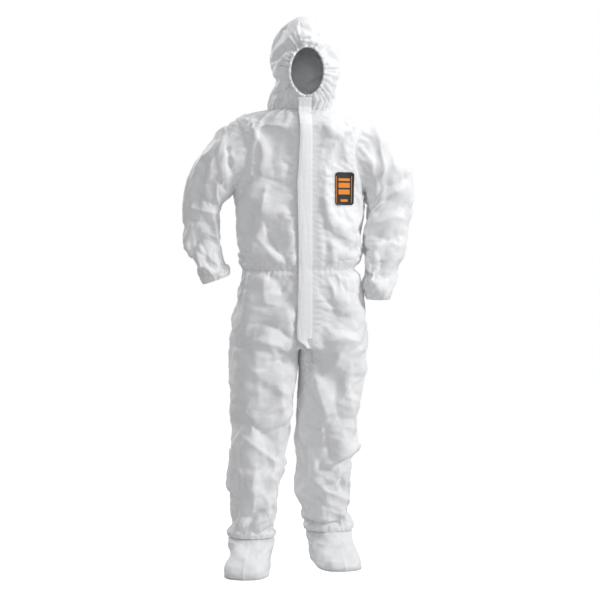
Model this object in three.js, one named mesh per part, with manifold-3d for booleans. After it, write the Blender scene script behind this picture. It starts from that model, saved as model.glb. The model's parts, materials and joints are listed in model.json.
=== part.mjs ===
// Hooded chemical protective coverall with attached boots, as it stands when it is worn.
// X runs to the wearer's left, Y to the back, Z up. Every panel is a thin closed shell, so the
// suit is open where the wearer goes in: face, wrists and all the way down inside.
import * as THREE from "three";
import { mergeVertices } from "three/addons/utils/BufferGeometryUtils.js";
import Module from "manifold-3d";

const wasm = await Module();
wasm.setup();

// ---- Driving dimensions, in millimetres, heights measured up from the soles ----
const CLOTH = 1.6; // thickness of a panel
const GAP = 0.4; // clearance between neighbouring pieces
const SIDES = 20; // flats round a limb
const BODY_SIDES = 28; // flats round the body
const BOOT_SIDES = 16; // flats round a boot
const BIG = 2000; // reach of a cutting block

// Heights of the body
const CROTCH_Z = 725;
const WAIST_Z = 989;
const ARMPIT_Z = 1239;
const SHOULDER_Z = 1476;
const NECK_Z = 1509;
const HOOD_TOP_Z = 1824;

// Half widths and depths of the body
const CROTCH_HALF = 222;
const HIP_HALF = 218;
const WAIST_HALF = 184;
const CHEST_HALF = 219;
const SHOULDER_HALF = 236;
const NECK_HALF = 104;
const FRONT = 128; // the front is straight from crotch to chest, so the zip runs straight
const NECK_FRONT = 88;
const SEAT_BACK = 132;
const SEAT_TUCK = 14; // the seat comes forward towards the crotch
const WAIST_BACK = 104;
const CHEST_BACK = 122;
const NECK_BACK = 96;
const BODY_ROUND = 0.8; // 1 is an ellipse, less is squarer

// Armholes and sleeves
const ARMHOLE_DEPTH = 172; // front to back
const ARMHOLE_INSET = 165; // half distance between the roots of the shoulder cloth
const ARMHOLE_CUT = 150; // from the middle to where the armhole's cut starts
const ROOT_REACH = 26; // from the shoulder's point in to the end of the straight root
const CAP_OUT = 4; // the sleeve cap stands out past the shoulder's point
const CAP_DROP = 12;
const CAP_HEIGHT_SHARE = 0.86; // of the armhole
const CAP_DEPTH_SHARE = 0.88;
const CAP_LEAN = 0.45; // how far the cap has turned towards the sleeve
const SLEEVE_START = 150; // from shoulder pivot to the top of the upper sleeve
const SLEEVE_HALF = 62;
const ELBOW_HALF = 56;
const CUFF_HALF = 49;
const CUFF_DEPTH = 44;
const CUFF_LENGTH = 26;
const ELBOW_BEND = 80; // degrees
const ELBOW_EASE = 2;
const BEND_CLEARANCE = 5; // beyond the cloth at each side of a bend
const ARM_BEND_HALF = 66; // half depth of the sleeve that the elbow has to clear
const SHOULDER_X = CHEST_HALF - 24; // the arms move out with the chest
const ARMS = {
  right: {
    side: -1,
    shoulder: [-SHOULDER_X, 0, 1430],
    elbow: [-CHEST_HALF - 103, 0, 1190],
    wrist: [-CHEST_HALF - 55, -42, 940],
  },
  left: {
    side: 1,
    shoulder: [SHOULDER_X, 0, 1430],
    elbow: [CHEST_HALF + 93, 0, 1184],
    wrist: [CHEST_HALF + 43, -46, 896],
  },
};

// Legs
const HIP_PIVOT_Z = 845;
const THIGH_DROP = 190; // from hip pivot to the top of the thigh tube
const KNEE_Z = 470;
const KNEE_BEND = 80; // degrees
const ANKLE_Z = 106;
const ANKLE_BEND = 20; // degrees
const THIGH_HALF = 104;
const THIGH_DEPTH = 108;
const HIP_CLOTH_DEPTH = 86;
const HIP_ROOT_SPACING = 3; // from the middle to the inner edge of each hip cloth
const HIP_ROOT_INSET = 2;
const HIP_ROOT_RISE = 12; // above the crotch, inside the hem of the body
const HIP_HEM_DROP = 8; // below the crotch, clear of the hem
const HIP_HEM_FLARE = 4;
const KNEE_HALF = 95;
const KNEE_DEPTH = 92;
const ANKLE_HALF = 78;
const ANKLE_DEPTH = 78;
const LEGS = {
  right: { side: -1, thigh: [-117, 0], knee: [-134, -30], ankle: [-164, -68], toeOut: 14 },
  left: { side: 1, thigh: [112, 0], knee: [108, 4], ankle: [112, 26], toeOut: 5 },
};

// Boots
const BOOT_LENGTH = 312;
const BOOT_HALF = 72;
const BOOT_HEEL = 92; // from ankle to the back of the heel
const BOOT_INSTEP = 88;
const SOLE_THICK = 3;
const SOLE_INSET = 2;
const SOLE_POINTS = 20; // along one side of the outline
const TOE_TIP_RISE = 20;
const COLLAR_TUCK = 6; // the collar is this much narrower than the trouser hem
const ANKLE_BAND = 12;

// Hood
const HOOD_X = 14; // the hood leans a little to the wearer's left
const HOOD_Y = -8;
const HOOD_HALF = 104;
const HOOD_DEPTH = 130;
const HOOD_RIM_GAP = 34; // between the neck rim and the hood, bridged by the neck cloth
const CROWN_HALF = 38; // half width of the centre panel
const FACE_HALF = 60;
const FACE_LOW_Z = 1552;
const FACE_HIGH_Z = 1716;
const FACE_HEM = 8;
const HEM_PROUD = 0.5; // the hem is thicker than the hood, outwards
const HEM_INNER = 1; // and inwards
const CHIN_TOP_GAP = 1;

// Closure
const ZIP_LOW_Z = 772;
const ZIP_HIGH_Z = 1446;
const ZIP_SLOT = 5.6; // half width of the slot between the front panels
const COIL_HALF = 3.8;
const COIL_THICK = 2.2;
const TOOTH_PITCH = 20;
const TAPE_WIDTH = 12;
const TAPE_THICK = 0.8;
const SLIDER_HALF = 5.1;
const SLIDER_LENGTH = 15;
const SLIDER_WALL = 0.7;
const SLIDER_SLACK = 0.4;
const SLIDER_REST = 2; // below the top of the coil when the zip is closed
const STOP_LOW = 6; // length of the bottom stop
const STOP_HIGH = 4;
const STOP_DEPTH = 1;
const BRIDGE_INSET = 2;
const BRIDGE_HEIGHT = 7;
const BRIDGE_BAR = 1.2;
const TAB_LENGTH = 18;
const TAB_HALF = 3.6;
const TAB_THICK = 1.2;
const FLAP_FREE_X = -20;
const FLAP_SEAM_X = 30;
const FLAP_STANDOFF = 12; // room under the flap for the slider and its tab
const FLAP_LOW_Z = 728;
const TACK_HEIGHT = 34;
const TACK_PAD = 3;
const CHIN_STANDOFF = 4;

// Trim
const ELASTIC_THICK = 1.2;
const ELASTIC_GAP = 1; // the waist elastic lies this far inside the cloth
const WAIST_ELASTIC_HEIGHT = 24;
const PATCH_X = 141;
const PATCH_Z = 1252;
const PATCH_WIDTH = 68;
const PATCH_HEIGHT = 108;
const PATCH_CORNER = 10;
const PATCH_THICK = 0.8;
const LABEL_HALF = 24;
const LABEL_HEIGHT = 32;
const LABEL_DROP = 5;

const radians = THREE.MathUtils.degToRad;
const lerp = THREE.MathUtils.lerp;
const X = new THREE.Vector3(1, 0, 0);
const Y = new THREE.Vector3(0, 1, 0);

// ---- Solids ----

// A closed geometry as a manifold solid.
function solid(geometry) {
  geometry.deleteAttribute("normal");
  geometry.deleteAttribute("uv");
  const merged = mergeVertices(geometry, 1e-4);
  const vertProperties = new Float32Array(merged.attributes.position.array);
  const triVerts = new Uint32Array(merged.index.array);
  return new wasm.Manifold(new wasm.Mesh({ numProp: 3, vertProperties, triVerts }));
}

// A box from its lowest to its highest corner.
function block(low, high) {
  const size = high.map((value, axis) => value - low[axis]);
  const geometry = new THREE.BoxGeometry(...size);
  geometry.translate(...low.map((value, axis) => value + size[axis] / 2));
  return solid(geometry);
}

// An elliptical bar along Y or X, used to cut openings.
function ellipseBar(axis, centre, halves, low, high) {
  const geometry = new THREE.CylinderGeometry(1, 1, high - low, 2 * SIDES);
  if (axis === "x") geometry.rotateZ(Math.PI / 2);
  geometry.scale(...halves.map((half) => half || 1));
  const middle = (low + high) / 2;
  geometry.translate(...centre.map((value, i) => ("xyz"[i] === axis ? middle : value)));
  return solid(geometry);
}

// A ring of the body: its centre, its two directions and its two half sizes.
function ring(centre, half, depth, across = X, along = Y, round = 1) {
  return { centre: new THREE.Vector3(...centre), half, depth, across, along, round };
}

// The point of a ring at an angle, set in from its outline.
function ringPoint(section, angle, inset) {
  const soften = (value) => Math.sign(value) * Math.abs(value) ** section.round;
  const half = Math.max(section.half - inset, 0);
  const depth = Math.max(section.depth - inset, 0);
  return section.centre
    .clone()
    .addScaledVector(section.across, half * soften(Math.cos(angle)))
    .addScaledVector(section.along, depth * soften(Math.sin(angle)));
}

// Moves the rows of a lathe onto rings. Each row is [ring, inset].
function lathe(rows, closed, sides) {
  const profile = rows.map((row, index) => new THREE.Vector2(1, index));
  if (!closed) {
    profile[0].x = 0;
    profile[profile.length - 1].x = 0;
  }
  if (closed) profile.push(profile[0].clone());
  const geometry = new THREE.LatheGeometry(profile, sides);
  const position = geometry.attributes.position;
  for (let index = 0; index < position.count; index += 1) {
    const [section, inset] = rows[(index % profile.length) % rows.length];
    const turn = Math.floor(index / profile.length) % sides;
    const point = ringPoint(section, (turn / sides) * 2 * Math.PI, inset);
    position.setXYZ(index, point.x, point.y, point.z);
  }
  return solid(geometry);
}

// A tube open at both ends through the rings, listed from the bottom up.
function tube(rings, outer = 0, inner = CLOTH, sides = SIDES) {
  const outside = rings.map((section) => [section, outer]);
  const inside = rings.map((section) => [section, inner]).reverse();
  return lathe([...outside, ...inside], true, sides);
}

// A shell open at the bottom and closed at the last ring, which has no width.
function dome(rings, outer = 0, inner = CLOTH, sides = SIDES) {
  const lower = rings.slice(0, -1);
  const tip = rings[rings.length - 1];
  const drop = (inset) => ring(tip.centre.clone().setZ(tip.centre.z - inset).toArray(), 0, 0);
  const inside = lower.map((section) => [section, inner]).reverse();
  const outside = lower.map((section) => [section, outer]);
  const rows = [[drop(inner), 0], ...inside, ...outside, [drop(outer), 0]];
  return lathe(rows, false, sides);
}

// ---- The scene ----
const group = new THREE.Group();

const MATERIALS = {
  cloth: { color: 0xf2f3f5, roughness: 0.85, metalness: 0 },
  elastic: { color: 0xf6f6f4, roughness: 0.9, metalness: 0 },
  tape: { color: 0xe9eaec, roughness: 0.8, metalness: 0 },
  coil: { color: 0xf1f1ef, roughness: 0.45, metalness: 0 },
  slider: { color: 0xdedfe0, roughness: 0.35, metalness: 0.6 },
  patch: { color: 0x2c2a2c, roughness: 0.55, metalness: 0 },
  label: { color: 0xf8f8f8, roughness: 0.6, metalness: 0 },
  sole: { color: 0xe6e7e8, roughness: 0.75, metalness: 0 },
};

function add(name, body, material) {
  const { vertProperties, triVerts, numProp } = body.getMesh();
  const position = new Float32Array((vertProperties.length / numProp) * 3);
  for (let index = 0; index < position.length / 3; index += 1) {
    position.set(vertProperties.subarray(index * numProp, index * numProp + 3), index * 3);
  }
  const geometry = new THREE.BufferGeometry();
  geometry.setAttribute("position", new THREE.BufferAttribute(position, 3));
  geometry.setIndex(new THREE.BufferAttribute(triVerts, 1));
  geometry.computeVertexNormals();
  const mesh = new THREE.Mesh(geometry, new THREE.MeshStandardMaterial(MATERIALS[material]));
  mesh.name = name;
  group.add(mesh);
}

// ---- Body ----

// Depths to the front and back on the way from the chest to the neck.
function shoulderDepths(frontShare, backShare) {
  return [lerp(FRONT, NECK_FRONT, frontShare), lerp(CHEST_BACK, NECK_BACK, backShare)];
}

// Rings of the body at each height: half width, depth to the front and depth to the back.
const BODY = [
  [CROTCH_Z, CROTCH_HALF, FRONT, SEAT_BACK - SEAT_TUCK],
  [lerp(CROTCH_Z, WAIST_Z, 0.4), HIP_HALF, FRONT, SEAT_BACK],
  [lerp(CROTCH_Z, WAIST_Z, 0.75), lerp(HIP_HALF, WAIST_HALF, 0.6), FRONT, lerp(SEAT_BACK, WAIST_BACK, 0.5)],
  [WAIST_Z, WAIST_HALF, FRONT, WAIST_BACK],
  [lerp(WAIST_Z, ARMPIT_Z, 0.25), lerp(WAIST_HALF, CHEST_HALF, 0.5), FRONT, lerp(WAIST_BACK, CHEST_BACK, 0.4)],
  [lerp(WAIST_Z, ARMPIT_Z, 0.6), lerp(WAIST_HALF, CHEST_HALF, 0.8), FRONT, CHEST_BACK],
  [ARMPIT_Z, CHEST_HALF, FRONT, CHEST_BACK],
  [lerp(ARMPIT_Z, SHOULDER_Z, 0.55), lerp(CHEST_HALF, SHOULDER_HALF, 0.5), FRONT, CHEST_BACK],
  [lerp(ARMPIT_Z, SHOULDER_Z, 0.9), SHOULDER_HALF, FRONT, lerp(CHEST_BACK, NECK_BACK, 0.3)],
  [SHOULDER_Z, lerp(SHOULDER_HALF, NECK_HALF, 0.05), ...shoulderDepths(0.3, 0.7)],
  [lerp(SHOULDER_Z, NECK_Z, 0.6), lerp(SHOULDER_HALF, NECK_HALF, 0.4), ...shoulderDepths(0.6, 0.85)],
  [NECK_Z, NECK_HALF, ...shoulderDepths(1, 1)],
];

function bodyRing([z, half, front, back]) {
  return ring([0, (back - front) / 2, z], half, (front + back) / 2, X, Y, BODY_ROUND);
}

// One layer of the body between two insets; a negative inset lies outside the cloth.
function bodyLayer(outer, inner) {
  return tube(BODY.map(bodyRing), outer, inner, BODY_SIDES);
}

function buildBody() {
  const armholeHeight = SHOULDER_Z - ARMPIT_Z;
  const armholeCentre = [0, 0, ARMPIT_Z + armholeHeight / 2];
  const halves = [0, ARMHOLE_DEPTH / 2, armholeHeight / 2];
  const armhole = (side) => {
    const reach = [side * ARMHOLE_CUT, side * BIG].sort((a, b) => a - b);
    return ellipseBar("x", armholeCentre, halves, ...reach);
  };
  const cloth = bodyLayer(0, CLOTH).subtract(armhole(-1)).subtract(armhole(1));
  const seam = GAP / 2;
  const panels = {
    right_front_bodice: [[-BIG, -BIG, WAIST_Z + seam], [-ZIP_SLOT, -seam, BIG]],
    left_front_bodice: [[ZIP_SLOT, -BIG, WAIST_Z + seam], [BIG, -seam, BIG]],
    back_bodice: [[-BIG, seam, WAIST_Z + seam], [BIG, BIG, BIG]],
    right_front_hip: [[-BIG, -BIG, 0], [-ZIP_SLOT, -seam, WAIST_Z - seam]],
    left_front_hip: [[ZIP_SLOT, -BIG, 0], [BIG, -seam, WAIST_Z - seam]],
    seat_panel: [[-BIG, seam, 0], [BIG, BIG, WAIST_Z - seam]],
  };
  for (const [name, [low, high]] of Object.entries(panels)) {
    add(name, cloth.intersect(block(low, high)), "cloth");
  }

  const under = CLOTH + GAP;
  const elasticHalf = WAIST_ELASTIC_HEIGHT / 2;
  const bandDepth = CLOTH + ELASTIC_GAP;
  const band = bodyLayer(bandDepth, bandDepth + ELASTIC_THICK)
    .intersect(block([-BIG, -BIG, WAIST_Z - elasticHalf], [BIG, BIG, WAIST_Z + elasticHalf]));
  const frontBreak = ZIP_SLOT + TAPE_WIDTH + GAP;
  add("waist_elastic", band.subtract(block([-frontBreak, -BIG, 0], [frontBreak, 0, BIG])), "elastic");

  const labelTop = SHOULDER_Z - LABEL_DROP;
  const label = bodyLayer(under, under + PATCH_THICK)
    .intersect(block([-LABEL_HALF, 0, labelTop - LABEL_HEIGHT], [LABEL_HALF, BIG, labelTop]));
  add("neck_label", label, "label");

  const patch = new THREE.Shape();
  const left = -PATCH_WIDTH / 2;
  const low = -PATCH_HEIGHT / 2;
  patch.moveTo(left + PATCH_CORNER, low);
  patch.lineTo(-left - PATCH_CORNER, low);
  patch.absarc(-left - PATCH_CORNER, low + PATCH_CORNER, PATCH_CORNER, -Math.PI / 2, 0);
  patch.lineTo(-left, -low - PATCH_CORNER);
  patch.absarc(-left - PATCH_CORNER, -low - PATCH_CORNER, PATCH_CORNER, 0, Math.PI / 2);
  patch.lineTo(left + PATCH_CORNER, -low);
  patch.absarc(left + PATCH_CORNER, -low - PATCH_CORNER, PATCH_CORNER, Math.PI / 2, Math.PI);
  patch.lineTo(left, low + PATCH_CORNER);
  patch.absarc(left + PATCH_CORNER, low + PATCH_CORNER, PATCH_CORNER, Math.PI, Math.PI * 1.5);
  const stamp = new THREE.ExtrudeGeometry(patch, { depth: BIG, bevelEnabled: false, curveSegments: 4 });
  stamp.rotateX(Math.PI / 2);
  stamp.translate(PATCH_X, 0, PATCH_Z);
  const badge = bodyLayer(-GAP - PATCH_THICK, -GAP).intersect(solid(stamp));
  add("chest_patch", badge, "patch");

  buildClosure();
}

// ---- Closure: zip, slider and storm flap ----

// One half of the coil: a strip with blunt teeth that reach past the middle between its partner's.
function coil(side) {
  const reach = COIL_HALF / 3;
  const root = -reach;
  const outline = new THREE.Shape();
  outline.moveTo(COIL_HALF, ZIP_LOW_Z);
  outline.lineTo(COIL_HALF, ZIP_HIGH_Z);
  const teeth = Math.floor((ZIP_HIGH_Z - ZIP_LOW_Z) / TOOTH_PITCH);
  const half = TOOTH_PITCH / 2;
  outline.lineTo(reach + GAP, ZIP_HIGH_Z);
  for (let tooth = teeth - 1; tooth >= 0; tooth -= 1) {
    const low = ZIP_LOW_Z + tooth * TOOTH_PITCH + (side > 0 ? half : 0);
    const high = low + half - GAP;
    outline.lineTo(reach + GAP, high);
    outline.lineTo(root, high);
    outline.lineTo(root, low);
    outline.lineTo(reach + GAP, low);
  }
  if (side > 0) outline.lineTo(reach + GAP, ZIP_LOW_Z);
  const geometry = new THREE.ExtrudeGeometry(outline, { depth: COIL_THICK, bevelEnabled: false });
  geometry.rotateX(Math.PI / 2);
  geometry.translate(0, COIL_THICK / 2 - FRONT, 0);
  const body = solid(geometry);
  return side > 0 ? body : body.mirror([1, 0, 0]);
}

function buildClosure() {
  const under = CLOTH + GAP;
  const tapes = bodyLayer(under, under + TAPE_THICK);
  for (const [name, side] of [["right", -1], ["left", 1]]) {
    const edges = [side * ZIP_SLOT, side * (ZIP_SLOT + TAPE_WIDTH)].sort((a, b) => a - b);
    const strip = block([edges[0], -BIG, ZIP_LOW_Z], [edges[1], 0, ZIP_HIGH_Z]);
    add(`zip_tape_${name}`, tapes.intersect(strip), "tape");
    add(`zip_coil_${name}`, coil(side), "coil");
  }
  const stop = (low, length) =>
    block([-COIL_HALF, -FRONT - STOP_DEPTH, low], [COIL_HALF, -FRONT + STOP_DEPTH, low + length]);
  add("zip_bottom_stop", stop(ZIP_LOW_Z - GAP - STOP_LOW, STOP_LOW), "slider");
  add("zip_top_stop", stop(ZIP_HIGH_Z + GAP, STOP_HIGH), "slider");

  // The slider is a sleeve round the coil, with a bridge in front that holds the tab's bar.
  const sliderTop = ZIP_HIGH_Z - SLIDER_REST;
  const sliderLow = sliderTop - SLIDER_LENGTH;
  const channelHalf = COIL_HALF + SLIDER_SLACK;
  const channelDepth = COIL_THICK / 2 + SLIDER_SLACK;
  const depth = channelDepth + SLIDER_WALL;
  const front = -FRONT - depth;
  const hull = block([-SLIDER_HALF, front, sliderLow], [SLIDER_HALF, -FRONT + depth, sliderTop]);
  const channel = block(
    [-channelHalf, -FRONT - channelDepth, sliderLow - GAP],
    [channelHalf, -FRONT + channelDepth, sliderTop + GAP],
  );
  const bridgeHalf = TAB_HALF / 3;
  const bridgeTop = sliderTop - BRIDGE_INSET;
  const bridgeLow = bridgeTop - BRIDGE_HEIGHT;
  const windowDepth = TAB_THICK + 2 * SLIDER_SLACK;
  const bridge = block(
    [-bridgeHalf, front - windowDepth - SLIDER_WALL, bridgeLow],
    [bridgeHalf, front + SLIDER_WALL / 2, bridgeTop],
  );
  const window = block(
    [-bridgeHalf - GAP, front - windowDepth, bridgeLow + BRIDGE_BAR],
    [bridgeHalf + GAP, front, bridgeTop - BRIDGE_BAR],
  );
  add("zip_slider", hull.subtract(channel).add(bridge.subtract(window)), "slider");

  // The tab hangs from a bar through the bridge.
  const barTop = bridgeTop - BRIDGE_BAR - SLIDER_SLACK;
  const tabBack = front - SLIDER_SLACK;
  const tabFront = tabBack - TAB_THICK;
  const plate = block([-TAB_HALF, tabFront, barTop - TAB_LENGTH], [TAB_HALF, tabBack, barTop]);
  const eye = block(
    [-bridgeHalf - SLIDER_SLACK, -BIG, bridgeLow - GAP],
    [bridgeHalf + SLIDER_SLACK, 0, barTop - TAB_THICK],
  );
  add("pull_tab", plate.subtract(eye), "slider");

  // The flap stands off the zip and comes down to the body at its sewn edge.
  const seat = -GAP;
  const flapLow = FLAP_LOW_Z + TACK_HEIGHT + GAP;
  const flapHigh = SHOULDER_Z;
  const flap = bodyLayer(-FLAP_STANDOFF - CLOTH, -FLAP_STANDOFF)
    .intersect(block([FLAP_FREE_X, -BIG, flapLow], [FLAP_SEAM_X, 0, flapHigh]));
  const foot = bodyLayer(-FLAP_STANDOFF - CLOTH, seat)
    .intersect(block([FLAP_SEAM_X - CLOTH, -BIG, flapLow], [FLAP_SEAM_X, 0, flapHigh]));
  add("storm_flap", flap.add(foot), "cloth");

  const tack = bodyLayer(-TACK_PAD - CLOTH, seat)
    .intersect(block([FLAP_FREE_X, -BIG, FLAP_LOW_Z], [FLAP_SEAM_X, 0, flapLow - GAP]));
  add("flap_bar_tack", tack, "cloth");
}

// ---- Hood ----
const HOOD_RIM_Z = NECK_Z + HOOD_RIM_GAP;
const HOOD = [
  [HOOD_RIM_Z, 0.9, 0.76, 0.3],
  [lerp(HOOD_RIM_Z, HOOD_TOP_Z, 0.12), 0.93, 0.84, 0.6],
  [lerp(HOOD_RIM_Z, HOOD_TOP_Z, 0.3), 0.98, 0.95, 1],
  [lerp(HOOD_RIM_Z, HOOD_TOP_Z, 0.5), 1, 1, 1],
  [lerp(HOOD_RIM_Z, HOOD_TOP_Z, 0.7), 0.98, 0.97, 1],
  [lerp(HOOD_RIM_Z, HOOD_TOP_Z, 0.86), 0.82, 0.84, 1],
  [lerp(HOOD_RIM_Z, HOOD_TOP_Z, 0.95), 0.55, 0.58, 1],
];

function hoodRings() {
  return HOOD.map(([z, width, depth, lean]) =>
    ring([HOOD_X * lean, HOOD_Y * lean, z], HOOD_HALF * width, HOOD_DEPTH * depth));
}

function hoodLayer(outer, inner) {
  return dome([...hoodRings(), ring([HOOD_X, HOOD_Y, HOOD_TOP_Z], 0, 0)], outer, inner);
}

function buildHood() {
  const faceZ = (FACE_LOW_Z + FACE_HIGH_Z) / 2;
  const faceHeight = (FACE_HIGH_Z - FACE_LOW_Z) / 2;
  const face = (inset) =>
    ellipseBar("y", [HOOD_X, 0, faceZ], [FACE_HALF - inset, 0, faceHeight - inset], -BIG, 0);
  const cloth = hoodLayer(0, CLOTH).subtract(face(0));
  const seam = GAP / 2;
  const left = HOOD_X - CROWN_HALF;
  const right = HOOD_X + CROWN_HALF;
  const cheekTop = faceZ;
  const crown = block([left + seam, -BIG, cheekTop + seam], [right - seam, BIG, BIG])
    .add(block([left + seam, seam, 0], [right - seam, BIG, cheekTop + GAP]));
  add("hood_centre_panel", cloth.intersect(crown), "cloth");
  // Each side panel runs on under the chin to the middle.
  const chin = cloth.intersect(block([left - seam, -BIG, 0], [right + seam, 0, faceZ]));
  const sidePanel = (low, high, chinLow, chinHigh) =>
    cloth
      .intersect(block([low, -BIG, 0], [high, BIG, BIG]))
      .add(chin.intersect(block([chinLow, -BIG, 0], [chinHigh, 0, BIG])));
  add("hood_right_panel", sidePanel(-BIG, left - seam, -BIG, -seam), "cloth");
  add("hood_left_panel", sidePanel(right + seam, BIG, seam, BIG), "cloth");

  const hem = hoodLayer(-HEM_PROUD, CLOTH + HEM_INNER).intersect(face(GAP).subtract(face(FACE_HEM)));
  add("face_elastic", hem, "elastic");

  const rim = BODY[BODY.length - 1];
  const low = bodyRing(rim);
  low.centre.z += GAP;
  const first = HOOD[0];
  const high = ring(
    [HOOD_X * first[3], HOOD_Y * first[3], HOOD_RIM_Z - GAP],
    HOOD_HALF * first[1],
    HOOD_DEPTH * first[2],
  );
  add("neck_cloth", tube([low, high]), "cloth");

  // The top of the storm flap crosses the neck to the face opening.
  const throat = [...BODY.slice(-3).map(bodyRing), ...hoodRings().slice(0, 2)];
  const strip = block([FLAP_FREE_X, -BIG, SHOULDER_Z + GAP], [FLAP_SEAM_X, 0, FACE_LOW_Z - CHIN_TOP_GAP]);
  const chinFlap = tube(throat, -CHIN_STANDOFF - CLOTH, -CHIN_STANDOFF).intersect(strip);
  add("chin_flap", chinFlap, "cloth");
}

// ---- Sleeves ----

// Space that a bend needs on each side of its pivot.
function bendRoom(depth, degrees) {
  return depth * Math.tan(radians(degrees) / 2) + BEND_CLEARANCE;
}

// A ring square to the line from one point to another, at a distance along it.
function limbRing(from, to, distance, half, depth) {
  const start = new THREE.Vector3(...from);
  const direction = new THREE.Vector3(...to).sub(start).normalize();
  const across = new THREE.Vector3().crossVectors(Y, direction).normalize();
  const along = new THREE.Vector3().crossVectors(direction, across);
  const centre = start.addScaledVector(direction, distance);
  return ring(centre.toArray(), half, depth, across, along);
}

function buildArm(name, { side, shoulder, elbow, wrist }) {
  const upperLength = new THREE.Vector3(...shoulder).distanceTo(new THREE.Vector3(...elbow));
  const lowerLength = new THREE.Vector3(...elbow).distanceTo(new THREE.Vector3(...wrist));
  const bend = bendRoom(ARM_BEND_HALF, ELBOW_BEND);
  const upper = (distance, half) => limbRing(shoulder, elbow, distance, half, half);
  const lower = (distance, half, depth) => limbRing(elbow, wrist, distance, half, depth);
  const upperEnd = upperLength - bend;
  const cuffStart = lowerLength - CUFF_LENGTH;

  const armholeHeight = (SHOULDER_Z - ARMPIT_Z) / 2;
  const rootZ = ARMPIT_Z + armholeHeight;
  const rootHalf = armholeHeight - 4 * GAP;
  const rootDepth = ARMHOLE_DEPTH / 2 - 4 * GAP;
  const up = new THREE.Vector3(0, 0, -side);
  const root = (x) => ring([side * x, 0, rootZ], rootHalf, rootDepth, up, Y);
  const sleeveTop = upper(SLEEVE_START, SLEEVE_HALF);
  const mid = ring(
    [side * (SHOULDER_HALF + CAP_OUT), 0, rootZ - CAP_DROP],
    rootHalf * CAP_HEIGHT_SHARE,
    rootDepth * CAP_DEPTH_SHARE,
    up.clone().lerp(sleeveTop.across, CAP_LEAN).normalize(),
    Y,
  );
  const shoulderCloth = tube([
    root(ARMHOLE_INSET),
    root(SHOULDER_HALF - ROOT_REACH),
    mid,
    upper(SLEEVE_START - GAP, SLEEVE_HALF),
  ]);
  add(`${name}_shoulder_cloth`, shoulderCloth, "cloth");
  const sleeve = tube([sleeveTop, upper(upperEnd, (SLEEVE_HALF + ELBOW_HALF) / 2)]);
  add(`${name}_sleeve_upper`, sleeve, "cloth");
  const elbowCloth = tube([
    upper(upperEnd + GAP, (SLEEVE_HALF + ELBOW_HALF) / 2),
    ring(elbow, ELBOW_HALF + ELBOW_EASE, ELBOW_HALF + ELBOW_EASE, sleeveTop.across, Y),
    lower(bend - GAP, ELBOW_HALF, ELBOW_HALF),
  ]);
  add(`${name}_elbow_cloth`, elbowCloth, "cloth");
  const forearm = tube([
    lower(bend, ELBOW_HALF, ELBOW_HALF),
    lower(lerp(bend, cuffStart, 0.6), lerp(ELBOW_HALF, CUFF_HALF, 0.3), lerp(ELBOW_HALF, CUFF_DEPTH, 0.25)),
    lower(cuffStart - GAP, CUFF_HALF, CUFF_DEPTH),
  ]);
  add(`${name}_sleeve_lower`, forearm, "cloth");
  const cuff = tube([
    lower(cuffStart, CUFF_HALF, CUFF_DEPTH),
    lower(lowerLength, CUFF_HALF, CUFF_DEPTH),
  ]);
  add(`${name}_wrist_elastic`, cuff, "elastic");
}

// ---- Legs and boots ----

function buildLeg(name, { side, thigh, knee, ankle, toeOut }) {
  const thighTop = HIP_PIVOT_Z - THIGH_DROP;
  const kneeRoom = bendRoom(KNEE_DEPTH, KNEE_BEND);
  const ankleRoom = bendRoom(ANKLE_DEPTH, ANKLE_BEND);
  const share = (z, low, high) => (z - low) / (high - low);
  const upper = (z) => {
    const t = share(z, KNEE_Z, HIP_PIVOT_Z - THIGH_DROP);
    const centre = [lerp(knee[0], thigh[0], t), lerp(knee[1], thigh[1], t), z];
    return ring(centre, lerp(KNEE_HALF, THIGH_HALF, t), lerp(KNEE_DEPTH, THIGH_DEPTH, t));
  };
  const lower = (z) => {
    const t = share(z, ANKLE_Z, KNEE_Z);
    const centre = [lerp(ankle[0], knee[0], t), lerp(ankle[1], knee[1], t), z];
    return ring(centre, lerp(ANKLE_HALF, KNEE_HALF, t), lerp(ANKLE_DEPTH, KNEE_DEPTH, t));
  };

  // The hip cloth's top lies inside the hem of the body, one half for each leg.
  const rootHalf = (CROTCH_HALF - CLOTH - 6 * GAP) / 2 - HIP_ROOT_INSET;
  const rootX = side * (rootHalf + HIP_ROOT_SPACING);
  const rootCentre = [rootX, 0, CROTCH_Z + HIP_ROOT_RISE];
  const root = ring(rootCentre, rootHalf, HIP_CLOTH_DEPTH, X, Y, BODY_ROUND);
  const hemCentre = [rootX, 0, CROTCH_Z - HIP_HEM_DROP];
  const hem = ring(hemCentre, rootHalf, HIP_CLOTH_DEPTH + HIP_HEM_FLARE, X, Y, BODY_ROUND);
  add(`${name}_hip_cloth`, tube([upper(thighTop + GAP), hem, root]), "cloth");

  const thighLow = KNEE_Z + kneeRoom;
  add(`${name}_thigh`, tube([upper(thighLow), upper(thighTop)]), "cloth");
  const shinTop = KNEE_Z - kneeRoom;
  add(`${name}_knee_cloth`, tube([lower(shinTop + GAP), lower(KNEE_Z), upper(thighLow - GAP)]), "cloth");
  const shinLow = ANKLE_Z + ankleRoom;
  add(`${name}_shin`, tube([lower(shinLow), lower((shinLow + shinTop) / 2), lower(shinTop)]), "cloth");

  buildBoot(name, side, ankle, toeOut, ANKLE_Z - ankleRoom, lower(shinLow - GAP));
}

// Outline of the foot from heel to toe: share of the length, of the half width and of the height.
const FOOT = [
  [0.03, 0.5, 0.62],
  [0.1, 0.76, 0.8],
  [0.25, 0.86, 0.86],
  [0.42, 0.9, 0.92],
  [0.58, 0.97, 0.84],
  [0.74, 1, 0.72],
  [0.87, 0.88, 0.62],
  [0.96, 0.6, 0.48],
];
const FOOT_ROUND = 0.75;

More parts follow.
